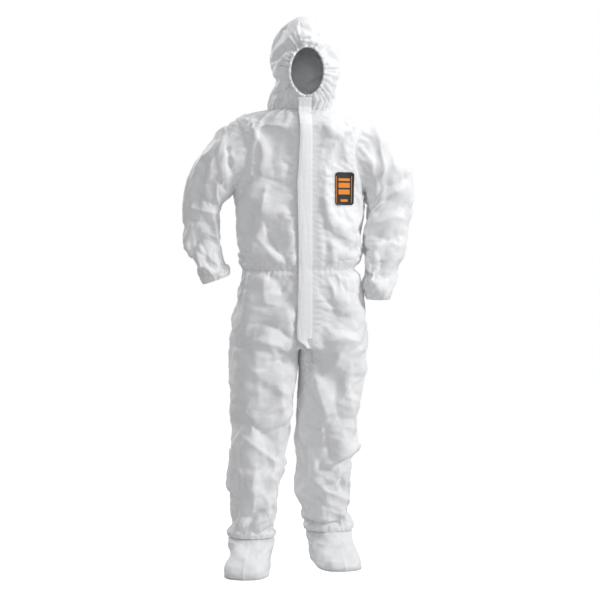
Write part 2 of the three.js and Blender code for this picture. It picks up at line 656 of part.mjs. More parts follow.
function buildBoot(name, side, ankle, toeOut, collarTop, shinHem) {
  const floor = SOLE_THICK + GAP;
  const up = new THREE.Vector3(0, 0, 1);
  const heel = BOOT_HEEL;
  const collarHalf = ANKLE_HALF - COLLAR_TUCK;
  const footRing = ([share, width, height], inset) => {
    const tall = height * BOOT_INSTEP;
    const centre = [0, heel - share * BOOT_LENGTH, floor + inset + (tall - floor) / 2];
    return ring(centre, BOOT_HALF * width, (tall - floor) / 2 + inset, X, up, FOOT_ROUND);
  };
  const last = (inset) => {
    const tip = (share) => ring([0, heel - share * BOOT_LENGTH, floor + TOE_TIP_RISE], 0, 0);
    const end = inset / BOOT_LENGTH;
    const rows = [tip(end), ...FOOT.map((part) => footRing(part, 0)), tip(1 - end)];
    return lathe(rows.map((section) => [section, inset]), false, BOOT_SIDES);
  };
  const column = (high, inset) => {
    const shaft = [BOOT_INSTEP / 2, high].map((z) =>
      ring([0, 0, z], collarHalf - inset, ANKLE_DEPTH - inset));
    const cap = (section) => ring(section.centre.toArray(), 0, 0);
    const rows = [cap(shaft[0]), shaft[0], shaft[1], cap(shaft[1])];
    return lathe(rows.map((section) => [section, 0]), false, BOOT_SIDES);
  };
  const place = (body) =>
    body.rotate([0, 0, side * toeOut]).translate([ankle[0], ankle[1], 0]);
  const sock = last(0).add(column(collarTop, 0)).subtract(last(CLOTH)).subtract(column(BIG, CLOTH));
  add(`${name}_boot_upper`, place(sock), "cloth");

  const outline = new THREE.Shape();
  const spline = new THREE.SplineCurve([
    new THREE.Vector2(0, heel - SOLE_INSET),
    ...FOOT.map(([share, width]) => new THREE.Vector2(BOOT_HALF * width, heel - share * BOOT_LENGTH)),
    new THREE.Vector2(0, heel - BOOT_LENGTH + SOLE_INSET),
  ]);
  const edge = spline.getPoints(SOLE_POINTS);
  const back = edge.slice(1, -1).reverse().map((point) => new THREE.Vector2(-point.x, point.y));
  outline.setFromPoints([...edge, ...back]);
  const plate = new THREE.ExtrudeGeometry(outline, { depth: SOLE_THICK, bevelEnabled: false });
  add(`${name}_boot_sole`, place(solid(plate)), "sole");

  // An elastic band inside the collar, and the cloth that blouses over the ankle.
  const bandRing = (z) => ring([0, 0, z], collarHalf, ANKLE_DEPTH);
  const under = CLOTH + GAP;
  const rings = [bandRing(collarTop - ANKLE_BAND), bandRing(collarTop - GAP)];
  const band = tube(rings, under, under + ELASTIC_THICK, BOOT_SIDES);
  add(`${name}_ankle_elastic`, place(band), "elastic");
  const turn = radians(side * toeOut);
  const across = new THREE.Vector3(Math.cos(turn), Math.sin(turn), 0);
  const along = new THREE.Vector3(-Math.sin(turn), Math.cos(turn), 0);
  const foot = ring([ankle[0], ankle[1], collarTop + GAP], collarHalf, ANKLE_DEPTH, across, along);
  add(`${name}_ankle_cloth`, tube([foot, shinHem]), "cloth");
}

buildBody();
buildHood();
for (const [name, arm] of Object.entries(ARMS)) {
  buildArm(name, arm);
}
for (const [name, leg] of Object.entries(LEGS)) {
  buildLeg(name, leg);
}

// The origin is the point midway between the shoulders, where the wearer carries the suit.
group.children.forEach((mesh) => mesh.position.set(0, 0, -SHOULDER_Z));

export default group;
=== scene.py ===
import json
import math

import bpy
import numpy as np
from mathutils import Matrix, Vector, noise
from mathutils.bvhtree import BVHTree


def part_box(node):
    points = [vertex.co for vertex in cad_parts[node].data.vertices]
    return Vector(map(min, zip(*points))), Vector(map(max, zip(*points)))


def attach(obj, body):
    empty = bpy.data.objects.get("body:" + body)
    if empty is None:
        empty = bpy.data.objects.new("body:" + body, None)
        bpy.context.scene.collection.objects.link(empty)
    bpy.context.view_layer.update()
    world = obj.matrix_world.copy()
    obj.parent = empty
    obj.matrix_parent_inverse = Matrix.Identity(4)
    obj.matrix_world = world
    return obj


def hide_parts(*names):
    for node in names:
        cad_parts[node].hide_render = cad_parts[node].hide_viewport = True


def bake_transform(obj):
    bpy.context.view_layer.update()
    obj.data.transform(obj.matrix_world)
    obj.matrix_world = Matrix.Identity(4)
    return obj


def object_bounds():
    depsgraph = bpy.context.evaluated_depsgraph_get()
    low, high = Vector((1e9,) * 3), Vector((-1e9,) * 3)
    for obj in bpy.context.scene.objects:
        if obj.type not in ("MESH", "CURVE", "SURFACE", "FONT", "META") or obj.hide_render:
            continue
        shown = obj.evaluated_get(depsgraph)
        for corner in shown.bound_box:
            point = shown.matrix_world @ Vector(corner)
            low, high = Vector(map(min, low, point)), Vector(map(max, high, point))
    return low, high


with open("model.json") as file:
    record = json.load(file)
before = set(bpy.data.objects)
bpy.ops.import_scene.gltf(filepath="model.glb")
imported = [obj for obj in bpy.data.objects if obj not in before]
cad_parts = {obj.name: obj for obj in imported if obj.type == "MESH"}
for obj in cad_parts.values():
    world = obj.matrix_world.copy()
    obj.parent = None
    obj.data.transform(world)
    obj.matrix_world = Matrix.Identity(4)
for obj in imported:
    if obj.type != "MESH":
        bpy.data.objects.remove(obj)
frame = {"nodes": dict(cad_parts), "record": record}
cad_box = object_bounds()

# A hooded coverall of white nonwoven cloth, worn by nobody. Row frame, metres: +Z up, +X to the
# wearer's left, -Y out of the front. Heights in the tables are millimetres above the soles.

SCENE = bpy.context.scene
SOLE = cad_box[0].z
MM = 0.001
RIGHT, LEFT = -1, 1
SIDE_NAMES = {RIGHT: "right", LEFT: "left"}
CLOTH_THICK = 0.0006
BODY_COLUMNS = 240
LEG_OUTER, LEG_INNER = BODY_COLUMNS // 2 + 1, 48
ZIP_SLOT = 0.0056

JOINTS = {joint["name"]: joint for joint in frame["record"]["behaviour"]["joints"]}


def up(height):
    """Row-frame height of a height above the soles in millimetres."""
    return SOLE + height * MM


def in_scene(name, data):
    """A new object in the scene that holds this data."""
    obj = bpy.data.objects.new(name, data)
    SCENE.collection.objects.link(obj)
    return obj


def look_at(obj, target):
    obj.rotation_mode = "QUATERNION"
    obj.rotation_quaternion = (target - obj.location).to_track_quat("-Z", "Y")


WAIST, CROTCH, NECK = up(989), up(738), up(1510)
ARMHOLE_MIDDLE, ARMHOLE_HALF_Y, ARMHOLE_HALF_Z = up(1362), 0.086, 0.124


# ---------------------------------------------------------------- cloth grids

def blend_in(value, low, high):
    """0 below low, 1 above high, and a smooth step between."""
    t = np.clip((value - low) / (high - low), 0, 1)
    return t * t * (3 - 2 * t)


def smooth_rows(rings, count):
    """Reads count evenly spaced rows off the smooth surface through a few rings of points."""
    rings = np.asarray(rings, float)
    gaps = np.linalg.norm(np.diff(rings, axis=0), axis=2).mean(axis=1)
    run = np.r_[0.0, np.cumsum(gaps)]
    slope = np.gradient(rings, run, axis=0)
    at = np.linspace(0, run[-1], count)
    k = np.clip(np.searchsorted(run, at, side="right") - 1, 0, len(run) - 2)
    step = (run[k + 1] - run[k])[:, None, None]
    t = ((at - run[k])[:, None, None]) / step
    return (
        (2 * t**3 - 3 * t**2 + 1) * rings[k]
        + (t**3 - 2 * t**2 + t) * slope[k] * step
        + (3 * t**2 - 2 * t**3) * rings[k + 1]
        + (t**3 - t**2) * slope[k + 1] * step
    )


def oval(angles, centre, half_x, front, back, roundness):
    """A level ring of cloth round the body; a lower roundness makes it squarer."""
    c, s = np.cos(angles), np.sin(angles)
    x = centre[0] + half_x * np.sign(c) * np.abs(c) ** roundness
    y = centre[1] + np.where(s < 0, front, back) * np.sign(s) * np.abs(s) ** roundness
    return np.stack([x, y, np.full_like(x, centre[2])], 1)


def outward(points, closed):
    """Unit normals of a tube's grid, out of the tube."""
    if closed:
        around = np.roll(points, -1, 1) - np.roll(points, 1, 1)
    else:
        around = np.gradient(points, axis=1)
    normal = np.cross(around, np.gradient(points, axis=0))
    normal /= np.linalg.norm(normal, axis=2, keepdims=True) + 1e-12
    middle = points.mean(axis=1, keepdims=True)
    return normal * (1 if ((points - middle) * normal).sum() > 0 else -1)


def lengths(points, closed):
    """How far round and how far along each column and row lies, in metres of cloth."""
    across = np.linalg.norm(np.diff(points, axis=1), axis=2).mean(axis=0)
    if closed:
        across = np.r_[across, np.linalg.norm(points[:, 0] - points[:, -1], axis=1).mean()]
    along = np.linalg.norm(np.diff(points, axis=0), axis=2).mean(axis=1)
    return np.r_[0, np.cumsum(across)], np.r_[0, np.cumsum(along)]


def share_round(points):
    """0 at a grid's first column to 1 at its last, at every point."""
    return np.broadcast_to(np.linspace(0, 1, points.shape[1])[None], points.shape[:2])


# ---------------------------------------------------------------- folds

def fold(points, path, height, width, lean=1.0):
    """Lift of one fold whose crest runs along path, (x, height above soles) in millimetres.

    A negative height is a pinched valley. Its right-hand side is lean times as broad."""
    spot = points[..., [0, 2]]
    line = np.array([(x * MM, up(z)) for x, z in path])
    best = np.full(spot.shape[:2], 1e9)
    share = np.zeros(spot.shape[:2])
    sided = np.zeros(spot.shape[:2])
    runs = np.linalg.norm(np.diff(line, axis=0), axis=1)
    total, before = runs.sum(), 0.0
    for a, b, length in zip(line[:-1], line[1:], runs):
        t = np.clip(((spot - a) @ (b - a)) / length**2, 0, 1)
        off = spot - (a + t[..., None] * (b - a))
        far = np.linalg.norm(off, axis=-1)
        nearer = far < best
        best = np.where(nearer, far, best)
        share = np.where(nearer, (before + t * length) / total, share)
        sided = np.where(nearer, off[..., 0], sided)
        before += length
    reach = width * MM * np.where(sided > 0, lean, 1.0)
    crest = np.exp(-(np.sqrt(best**2 + 0.0015**2) - 0.0015) / reach)
    fade = blend_in(np.minimum(share, 1 - share), 0.0, 0.22)
    return 1.5 * height * MM * crest * fade


def gathers(round_share, distance, folds, depth, reach, seed):
    """Puckers that run away from a line of elastic: folds of them all round, each its own length."""
    flat = np.zeros(round_share.shape)
    for layer, (count, weight) in enumerate(((folds, 1.0), (folds * 1.7, 0.5))):
        wander = np.vectorize(
            lambda s: noise.noise(Vector((math.cos(s) * 2.2, math.sin(s) * 2.2, seed + layer * 7)))
        )(round_share[0] * 2 * math.pi)
        phase = round_share * round(count) * 2 * math.pi + wander[None, :] * 5
        own = 0.55 + 0.9 * np.abs(np.roll(wander, 11 * (layer + 1)))[None, :] * 2
        flat += weight * (1 - 2 * np.abs(np.sin(phase / 2)) ** 0.8) * np.exp(-distance / (reach * own))
    return depth * flat


def facets(points, closed, size, depth, seed, longer=1.0):
    """Flat facets that meet at crisp creases, as packed nonwoven keeps them: random heights at the corners
    of a wandering net of triangles, joined by straight slopes. longer stretches the net along the piece."""
    around, along = lengths(points, closed)
    girth = np.linalg.norm(np.diff(points, axis=1), axis=2).sum(axis=1).mean()
    count = max(3, round(girth / size))
    turn = (around / around[-1] if not closed else np.arange(points.shape[1]) / points.shape[1])[None]
    down = (along / (size * longer))[:, None]
    chance = np.random.default_rng(seed)
    corner = chance.uniform(-1, 1, (count, 97))
    phase = chance.uniform(0, 2 * math.pi, 8)
    wave = lambda n, k, m: np.sin(2 * math.pi * (n * turn + k * down) + phase[m])
    across = turn * count + 0.42 * wave(1, 0.31, 0) + 0.34 * wave(2, -0.43, 1) + 0.22 * wave(5, 0.67, 2) + 0.3 * down * (0 if closed else 1)
    length = down + 40 + 0.42 * wave(1, 0.37, 3) + 0.36 * wave(3, 0.29, 4) + 0.22 * wave(4, -0.7, 5)
    i, j = np.floor(across).astype(int), np.floor(length).astype(int)
    a, b = across - i, length - j
    h = lambda di, dj: corner[(i + di) % count, (j + dj) % 97]
    rising = (i + j) % 2 == 0
    first = np.where(a > b, h(0, 0) * (1 - a) + h(1, 0) * (a - b) + h(1, 1) * b, h(0, 0) * (1 - b) + h(0, 1) * (b - a) + h(1, 1) * a)
    second = np.where(a + b < 1, h(0, 0) * (1 - a - b) + h(1, 0) * a + h(0, 1) * b, h(1, 1) * (a + b - 1) + h(1, 0) * (1 - b) + h(0, 1) * (1 - a))
    return depth * np.where(rising, first, second)


def packed(points, closed, seed, big=0.013, middle=0.0075, small=0.0026):
    """Creases of three sizes."""
    lift = facets(points, closed, 0.115, big, seed, 1.5)
    lift += facets(points, closed, 0.052, middle, seed + 1, 1.2)
    return lift + facets(points, closed, 0.024, small, seed + 2, 1.0)


def drift(points, size, depth, seed, stretch=(1, 1, 1)):
    """Broad soft unevenness."""
    scaled = points * np.array(stretch) / size + seed * 5.1
    flat = scaled.reshape(-1, 3)
    return depth * np.array([noise.noise(p) for p in flat]).reshape(points.shape[:2])


def thinned(count, closed):
    """Every other row or column, with both ends."""
    return np.arange(0, count, 2) if closed else np.unique(np.r_[np.arange(0, count, 2), count - 1])


def spread(values, kept, count, axis, closed):
    """Values at the kept rows or columns, filled in between."""
    values = np.moveaxis(values, axis, 0)
    at = np.arange(count)
    stops = np.r_[kept, count] if closed else kept
    if closed:
        values = np.concatenate([values, values[:1]])
    k = np.clip(np.searchsorted(stops, at, side="right") - 1, 0, len(stops) - 2)
    t = ((at - stops[k]) / (stops[k + 1] - stops[k])).reshape(-1, *([1] * (values.ndim - 1)))
    return np.moveaxis(values[k] * (1 - t) + values[k + 1] * t, 0, axis)


def settled(points, closed, held, present=None, growth=0.07, frames=26, cap=0.02, gravity=0.35):
    """A short cloth simulation: a little more cloth than the space, held at its seams, buckles and sags.

    held is 1 where the cloth is sewn down."""
    every_row, every_column = thinned(points.shape[0], False), thinned(points.shape[1], closed)
    coarse = points[np.ix_(every_row, every_column)]
    rows, columns = coarse.shape[:2]
    if present is not None:
        across = columns if closed else columns - 1
        present = present[np.ix_(every_row[:-1], every_column[:across])]
    faces = grid_faces(rows, columns, closed, present)
    mesh = bpy.data.meshes.new("settling")
    mesh.from_pydata(coarse.reshape(-1, 3).tolist(), [], faces.tolist())
    obj = in_scene("settling", mesh)
    pins = obj.vertex_groups.new(name="sewn")
    weights = np.clip(held[np.ix_(every_row, every_column)], 0, 1).reshape(-1)
    for level in np.unique(np.round(weights, 1)):
        if level > 0:
            where = np.nonzero(np.round(weights, 1) == level)[0]
            pins.add(where.tolist(), float(level), "REPLACE")
    cloth = obj.modifiers.new("cloth", "CLOTH")
    cloth.settings.quality = 6
    cloth.settings.mass = 0.08
    cloth.settings.air_damping = 4
    cloth.settings.tension_stiffness = 25
    cloth.settings.compression_stiffness = 25
    cloth.settings.shear_stiffness = 15
    cloth.settings.bending_stiffness = 4
    cloth.settings.tension_damping = 15
    cloth.settings.compression_damping = 15
    cloth.settings.shear_damping = 15
    cloth.settings.vertex_group_mass = "sewn"
    cloth.settings.shrink_min = -growth
    cloth.settings.shrink_max = -growth
    cloth.settings.effector_weights.gravity = gravity
    cloth.collision_settings.use_collision = False
    cloth.point_cache.frame_start = 1
    cloth.point_cache.frame_end = frames
    for step in range(1, frames + 1):
        SCENE.frame_set(step)
    made = obj.evaluated_get(bpy.context.evaluated_depsgraph_get()).to_mesh()
    moved = np.empty(rows * columns * 3)
    made.vertices.foreach_get("co", moved)
    SCENE.frame_set(1)
    bpy.data.objects.remove(obj)
    bpy.data.meshes.remove(mesh)
    shift = moved.reshape(rows, columns, 3) - coarse
    size = np.linalg.norm(shift, axis=2, keepdims=True)
    shift = shift * np.minimum(1, cap / np.maximum(size, 1e-9))
    shift = spread(shift, every_row, points.shape[0], 0, False)
    return points + spread(shift, every_column, points.shape[1], 1, closed)


# ---------------------------------------------------------------- meshes

def grid_faces(rows, columns, closed, present=None):
    across = columns if closed else columns - 1
    r, c = np.meshgrid(np.arange(rows - 1), np.arange(across), indexing="ij")
    nxt = (c + 1) % columns
    quads = np.stack([r * columns + c, r * columns + nxt, (r + 1) * columns + nxt, (r + 1) * columns + c], -1)
    quads = quads.reshape(-1, 4)
    if present is not None:
        quads = quads[present.reshape(-1)]
    return quads


def cloth_piece(name, points, material, closed=True, present=None, thick=CLOTH_THICK, uv_shift=(0, 0)):
    """A sheet of cloth from a grid, with its own UV map in metres of cloth, given its thickness inwards."""
    rows, columns = points.shape[:2]
    quads = grid_faces(rows, columns, closed, present)
    round_at, along_at = lengths(points, closed)
    across = columns if closed else columns - 1
    r, c = np.meshgrid(np.arange(rows - 1), np.arange(across), indexing="ij")
    u0, u1 = round_at[c], round_at[c + 1]
    v0, v1 = along_at[r], along_at[r + 1]
    corners = ((u0, v0), (u1, v0), (u1, v1), (u0, v1))
    uv = np.stack([np.stack(corner, -1) for corner in corners], 2)
    uv = uv.reshape(-1, 4, 2) + np.array(uv_shift)
    if present is not None:
        uv = uv[present.reshape(-1)]
    normal = outward(points, closed)
    around = (np.roll(points, -1, 1) - np.roll(points, 1, 1)) if closed else np.gradient(points, axis=1)
    turned = (np.cross(around, np.gradient(points, axis=0)) * normal).sum() < 0
    if turned:
        quads, uv = quads[:, ::-1], uv[:, ::-1]
    used = np.unique(quads)
    order = np.full(rows * columns, -1)
    order[used] = np.arange(len(used))
    mesh = bpy.data.meshes.new(name)
    mesh.from_pydata(points.reshape(-1, 3)[used].tolist(), [], order[quads].tolist())
    layer = mesh.uv_layers.new(name="cloth")
    layer.data.foreach_set("uv", uv.reshape(-1).astype(np.float32))
    mesh.polygons.foreach_set("use_smooth", np.ones(len(quads), bool))
    mesh.materials.append(material)
    mesh.update()
    uses = np.zeros(len(mesh.edges), int)
    np.add.at(uses, np.array([loop.edge_index for loop in mesh.loops]), 1)
    for edge in np.nonzero(uses == 1)[0]:
        mesh.edges[int(edge)].use_edge_sharp = True
    obj = in_scene(name, mesh)
    if thick:
        thicken(obj, thick, -1)
    return obj


def thicken(obj, thick, offset):
    """Gives a sheet its thickness: inwards at offset -1, to both sides at 0."""
    wall = obj.modifiers.new("wall", "SOLIDIFY")
    wall.thickness = thick
    wall.offset = offset
    return bake(obj)


def bake(obj):
    """Turns an object's modifiers into plain mesh."""
    graph = bpy.context.evaluated_depsgraph_get()
    mesh = bpy.data.meshes.new_from_object(obj.evaluated_get(graph), preserve_all_data_layers=True, depsgraph=graph)
    obj.modifiers.clear()
    old, obj.data = obj.data, mesh
    mesh.name = obj.name
    bpy.data.meshes.remove(old)
    return obj


# ---------------------------------------------------------------- finishes

def colour(code):
    """sRGB hex to linear."""
    parts = [int(code[i : i + 2], 16) / 255 for i in (0, 2, 4)]
    return tuple(p / 12.92 if p <= 0.04045 else ((p + 0.055) / 1.055) ** 2.4 for p in parts) + (1.0,)


def put(tree, kind, inputs=None, **settings):
    """Adds one node with its settings, values and links."""
    made = tree.nodes.new(kind)
    for key, value in settings.items():
        setattr(made, key, value)
    for key, value in (inputs or {}).items():
        if isinstance(value, bpy.types.NodeSocket):
            tree.links.new(value, made.inputs[key])
        else:
            made.inputs[key].default_value = value
    return made


def finish_of(name, **sockets):
    """A new material and its shader, with the even values set on the shader's own sockets."""
    material = bpy.data.materials.new(name)
    material.use_nodes = True
    shader = material.node_tree.nodes["Principled BSDF"]
    for key, value in sockets.items():
        shader.inputs[key.replace("_", " ")].default_value = value
    return material, material.node_tree, shader


def nonwoven(name, light="F0F0F1", shade="E7E8EA", crinkle=1.0):
    # Spunbond-meltblown-spunbond polypropylene, point bonded and rolled: matt, faintly cloudy where
    # fibres lie thicker, with a fine dimple grid. The bond points are 1 mm apart on the real cloth and
    # are drawn 3.5 mm apart so that they show.
    material, tree, shader = finish_of(name, Roughness=0.62, Sheen_Weight=0.12, Sheen_Roughness=0.5)
    shader.inputs["Specular IOR Level"].default_value = 0.32
    shader.inputs["Subsurface Weight"].default_value = 0.2
    shader.inputs["Subsurface Scale"].default_value = 0.001
    shader.inputs["Subsurface Radius"].default_value = (1, 1, 1)
    where = put(tree, "ShaderNodeUVMap", uv_map="cloth").outputs[0]
    cloud = put(tree, "ShaderNodeTexNoise", {"Vector": where, "Scale": 45.0, "Detail": 4.0, "Roughness": 0.65})
    tone = put(tree, "ShaderNodeMix", {0: cloud.outputs["Fac"], 6: colour(light), 7: colour(shade)}, data_type="RGBA")
    tree.links.new(tone.outputs[2], shader.inputs["Base Color"])
    worn = put(tree, "ShaderNodeMapRange", {"Value": cloud.outputs["Fac"], "To Min": 0.52, "To Max": 0.72})
    tree.links.new(worn.outputs[0], shader.inputs["Roughness"])
    spots = put(tree, "ShaderNodeTexVoronoi", {"Vector": where, "Scale": 1 / 0.0035, "Randomness": 0.12})
    dimple = put(tree, "ShaderNodeMapRange", {"Value": spots.outputs["Distance"], "From Min": 0.1, "From Max": 0.45})
    creases = put(tree, "ShaderNodeTexNoise", {"Vector": where, "Scale": 75.0, "Detail": 3.0, "Roughness": 0.6, "Distortion": 0.6})
    packed = put(tree, "ShaderNodeTexVoronoi", {"Vector": where, "Scale": 32.0}, feature="DISTANCE_TO_EDGE")
    edge = put(tree, "ShaderNodeMapRange", {"Value": packed.outputs["Distance"], "From Max": 0.06})
    fine = put(tree, "ShaderNodeBump", {"Height": dimple.outputs[0], "Strength": 0.18, "Distance": 0.0004})
    soft = put(tree, "ShaderNodeBump", {"Height": creases.outputs["Fac"], "Strength": 0.3 * crinkle, "Distance": 0.002, "Normal": fine.outputs[0]})
    sharp = put(tree, "ShaderNodeBump", {"Height": edge.outputs[0], "Strength": 0.22 * crinkle, "Distance": 0.0012, "Normal": soft.outputs[0]})
    tree.links.new(sharp.outputs[0], shader.inputs["Normal"])
    return material


NONWOVEN = nonwoven("spunbond_nonwoven")


def woven(name, code, other, pitch):
    # Woven polyester tape: two crossing sets of threads, drawn at their own spacing.
    material, tree, shader = finish_of(name, Roughness=0.7, Sheen_Weight=0.2)
    where = put(tree, "ShaderNodeTexCoord").outputs["Object"]
    warp = put(tree, "ShaderNodeTexWave", {"Vector": where, "Scale": 0.05 / pitch, "Distortion": 0.6}, bands_direction="X")
    weft = put(tree, "ShaderNodeTexWave", {"Vector": where, "Scale": 0.05 / pitch, "Distortion": 0.6}, bands_direction="Z")
    both = put(tree, "ShaderNodeMath", {0: warp.outputs["Fac"], 1: weft.outputs["Fac"]}, operation="MULTIPLY")
    tone = put(tree, "ShaderNodeMix", {0: both.outputs[0], 6: colour(other), 7: colour(code)}, data_type="RGBA")
    tree.links.new(tone.outputs[2], shader.inputs["Base Color"])
    bump = put(tree, "ShaderNodeBump", {"Height": both.outputs[0], "Strength": 0.5, "Distance": 0.0003})
    tree.links.new(bump.outputs[0], shader.inputs["Normal"])
    return material


TAPE = woven("woven_polyester_tape", "ECEDEE", "C9CCD0", 0.0008)
BAND = nonwoven("gathered_elastic_hem", "F5F5F4", "E3E5E8", 1.6)


def mottled(name, code, other, roughness, size, bump_height, **sockets):
    # A moulded or cast surface with a little unevenness in tone and level.
    material, tree, shader = finish_of(name, Roughness=roughness, **sockets)
    where = put(tree, "ShaderNodeTexCoord").outputs["Object"]
    grain = put(tree, "ShaderNodeTexNoise", {"Vector": where, "Scale": 1 / size, "Detail": 3.0})
    tone = put(tree, "ShaderNodeMix", {0: grain.outputs["Fac"], 6: colour(code), 7: colour(other)}, data_type="RGBA")
    tree.links.new(tone.outputs[2], shader.inputs["Base Color"])
    bump = put(tree, "ShaderNodeBump", {"Height": grain.outputs["Fac"], "Strength": 0.4, "Distance": bump_height})
    tree.links.new(bump.outputs[0], shader.inputs["Normal"])
    return material


COIL = mottled("nylon_coil", "EFEFEC", "DEDFDD", 0.35, 0.002, 0.0001)
SLIDER = mottled("enamelled_zinc", "E9EAEA", "DDDFE0", 0.28, 0.003, 0.0001, Coat_Weight=0.4)
SATIN = mottled("satin_label", "F4F4F3", "E8E8E8", 0.4, 0.004, 0.0001, Sheen_Weight=0.3)
COATED = mottled("coated_sole_cloth", "DDE0E3", "CDD1D5", 0.5, 0.003, 0.0004)


# ---------------------------------------------------------------- camera and lights

BODY_FAR, EYE_HEIGHT, TURN = 5.7, up(1150), math.radians(8)
camera_data = bpy.data.cameras.new("studio_camera")
camera = in_scene("studio_camera", camera_data)
camera_data.lens = 102.4
camera_data.sensor_width = 36
camera.location = (-math.sin(TURN) * BODY_FAR, -math.cos(TURN) * BODY_FAR, EYE_HEIGHT)
look_at(camera, Vector((0.0067, 0, up(882))))
SCENE.camera = camera
SCENE.view_settings.view_transform = "Standard"

floor_mesh = bpy.data.meshes.new("studio_floor")
rim = [(2.6 * math.cos(a), 2.6 * math.sin(a), SOLE) for a in np.linspace(0, 2 * math.pi, 64, endpoint=False)]
floor_mesh.from_pydata(rim, [], [tuple(range(64))])
floor = in_scene("studio_floor", floor_mesh)
paper, paper_tree, paper_shader = finish_of("white_paper", Roughness=0.9)
paper_shader.inputs["Base Color"].default_value = colour("C4C4C4")
glow = put(paper_tree, "ShaderNodeEmission", {"Color": (1, 1, 1, 1), "Strength": 0.85})
lit = put(paper_tree, "ShaderNodeAddShader", {0: paper_shader.outputs[0], 1: glow.outputs[0]})
eye = put(paper_tree, "ShaderNodeLightPath")
shown = put(paper_tree, "ShaderNodeMixShader", {0: eye.outputs["Is Camera Ray"], 1: paper_shader.outputs[0], 2: lit.outputs[0]})
paper_tree.links.new(shown.outputs[0], paper_tree.nodes["Material Output"].inputs[0])
floor_mesh.materials.append(paper)

world = bpy.data.worlds.new("studio_light")
SCENE.world = world
world.use_nodes = True
air = world.node_tree
air.nodes.clear()
seen = put(air, "ShaderNodeBackground", {"Color": (1, 1, 1, 1), "Strength": 1.0})
fill = put(air, "ShaderNodeBackground", {"Color": (0.99, 0.995, 1.0, 1), "Strength": 0.39})
ray = put(air, "ShaderNodeLightPath")
mixed = put(air, "ShaderNodeMixShader", {0: ray.outputs["Is Camera Ray"], 1: fill.outputs[0], 2: seen.outputs[0]})
put(air, "ShaderNodeOutputWorld", {"Surface": mixed.outputs[0]})


def soft_light(name, place, size, power, aim_height):
    data = bpy.data.lights.new(name, "AREA")
    data.shape = "DISK"
    data.size = size
    data.energy = power
    obj = in_scene(name, data)
    obj.location = place
    look_at(obj, Vector((0, 0, up(aim_height))))


soft_light("key_softbox", (3.6, -2.0, 1.3), 1.2, 104, 1000)
soft_light("rear_softbox", (-2.2, 3.4, 1.4), 1.6, 70, 1000)
soft_light("front_fill", (-0.5, -4.2, 0.6), 1.0, 20, 1300)
soft_light("overhead_softbox", (0.8, -0.4, 2.6), 1.6, 30, 1000)

# ---------------------------------------------------------------- bodice

# Height, half width, front depth, back depth, roundness.
BODICE = [
    (985, 187, 126, 105, 0.86),
    (1001, 193, 129, 109, 0.85),
    (1030, 199, 131, 115, 0.85),
    (1080, 202, 129, 119, 0.85),
    (1150, 209, 128, 122, 0.85),
    (1239, 217, 128, 122, 0.86),
    (1310, 224, 128, 122, 0.88),
    (1380, 230, 127, 120, 0.92),
    (1430, 233, 127, 115, 0.98),
    (1458, 230, 124, 110, 1.04),
    (1478, 217, 115, 104, 1.08),
    (1494, 186, 104, 101, 1.06),
    (1504, 146, 95, 99, 1.0),
    (1510, 106, 88, 97, 0.95),
]

# Folds of the front as worn: crest (x, height), lift, breadth, lean.
BODICE_FOLDS = [
    ([(-112, 1500), (-140, 1440), (-155, 1380), (-157, 1320), (-152, 1250)], -9, 13, 2.2),
    ([(-135, 1470), (-160, 1400), (-170, 1330), (-166, 1270)], 7, 16, 1.0),
    ([(-120, 1275), (-128, 1215), (-140, 1155)], 6, 14, 0.8),
    ([(-133, 1162), (-118, 1110), (-85, 1050), (-45, 1005)], -13, 15, 2.0),
    ([(-165, 1130), (-140, 1085), (-105, 1035), (-70, 1003)], 7, 22, 0.8),
    ([(-60, 1440), (-75, 1370), (-70, 1290), (-60, 1220)], 4, 26, 1.0),
    ([(-95, 1400), (-100, 1340), (-92, 1270)], -3, 14, 1.4),
    ([(-30, 1490), (-48, 1452), (-60, 1410)], -4, 9, 1.4),
    ([(-55, 1200), (-75, 1130), (-62, 1060)], 3, 20, 1.0),
    ([(118, 1500), (86, 1450), (64, 1395), (54, 1330), (54, 1270), (66, 1215), (84, 1165)], 6, 14, 1.8),
    ([(66, 1240), (78, 1160), (100, 1115), (150, 1085), (188, 1070)], 8, 13, 1.6),
    ([(92, 1132), (125, 1095), (165, 1072)], -5, 16, 1.0),
    ([(126, 1412), (132, 1370), (144, 1320)], -3, 9, 1.2),
    ([(152, 1440), (162, 1390), (166, 1350)], -3, 9, 1.2),
    ([(44, 1190), (50, 1110), (58, 1010)], 5, 8, 1.0),
    ([(66, 1180), (72, 1090), (76, 1005)], -4, 8, 1.0),
    ([(90, 1085), (96, 1040), (98, 1000)], 4, 10, 1.0),
    ([(172, 1180), (178, 1130), (170, 1060)], 4, 16, 1.0),
    ([(200, 1235), (172, 1275), (150, 1290)], -6, 9, 1.0),
    ([(-205, 1240), (-180, 1272), (-160, 1300)], -6, 9, 1.0),
    ([(-205, 1200), (-190, 1120), (-180, 1040)], 5, 16, 1.0),
]

BACK_FOLDS = [
    ([(-150, 1440), (-120, 1330), (-110, 1230)], -6, 18, 1.4),
    ([(150, 1440), (125, 1340), (105, 1240)], -6, 18, 0.8),
    ([(-80, 1160), (-60, 1080), (-50, 1010)], 7, 18, 1.0),
    ([(70, 1180), (60, 1090), (45, 1010)], 7, 18, 1.0),
    ([(0, 1200), (-8, 1100), (4, 1005)], 6, 16, 1.0),
    ([(-190, 1250), (-140, 1180), (-95, 1130)], -7, 16, 1.0),
    ([(190, 1250), (140, 1190), (100, 1130)], -7, 16, 1.0),
    ([(-140, 1110), (-120, 1050), (-105, 1005)], 6, 14, 1.0),
    ([(135, 1100), (125, 1050), (110, 1005)], 6, 14, 1.0),
    ([(0, 1470), (5, 1380), (0, 1290)], 4, 26, 1.0),
]


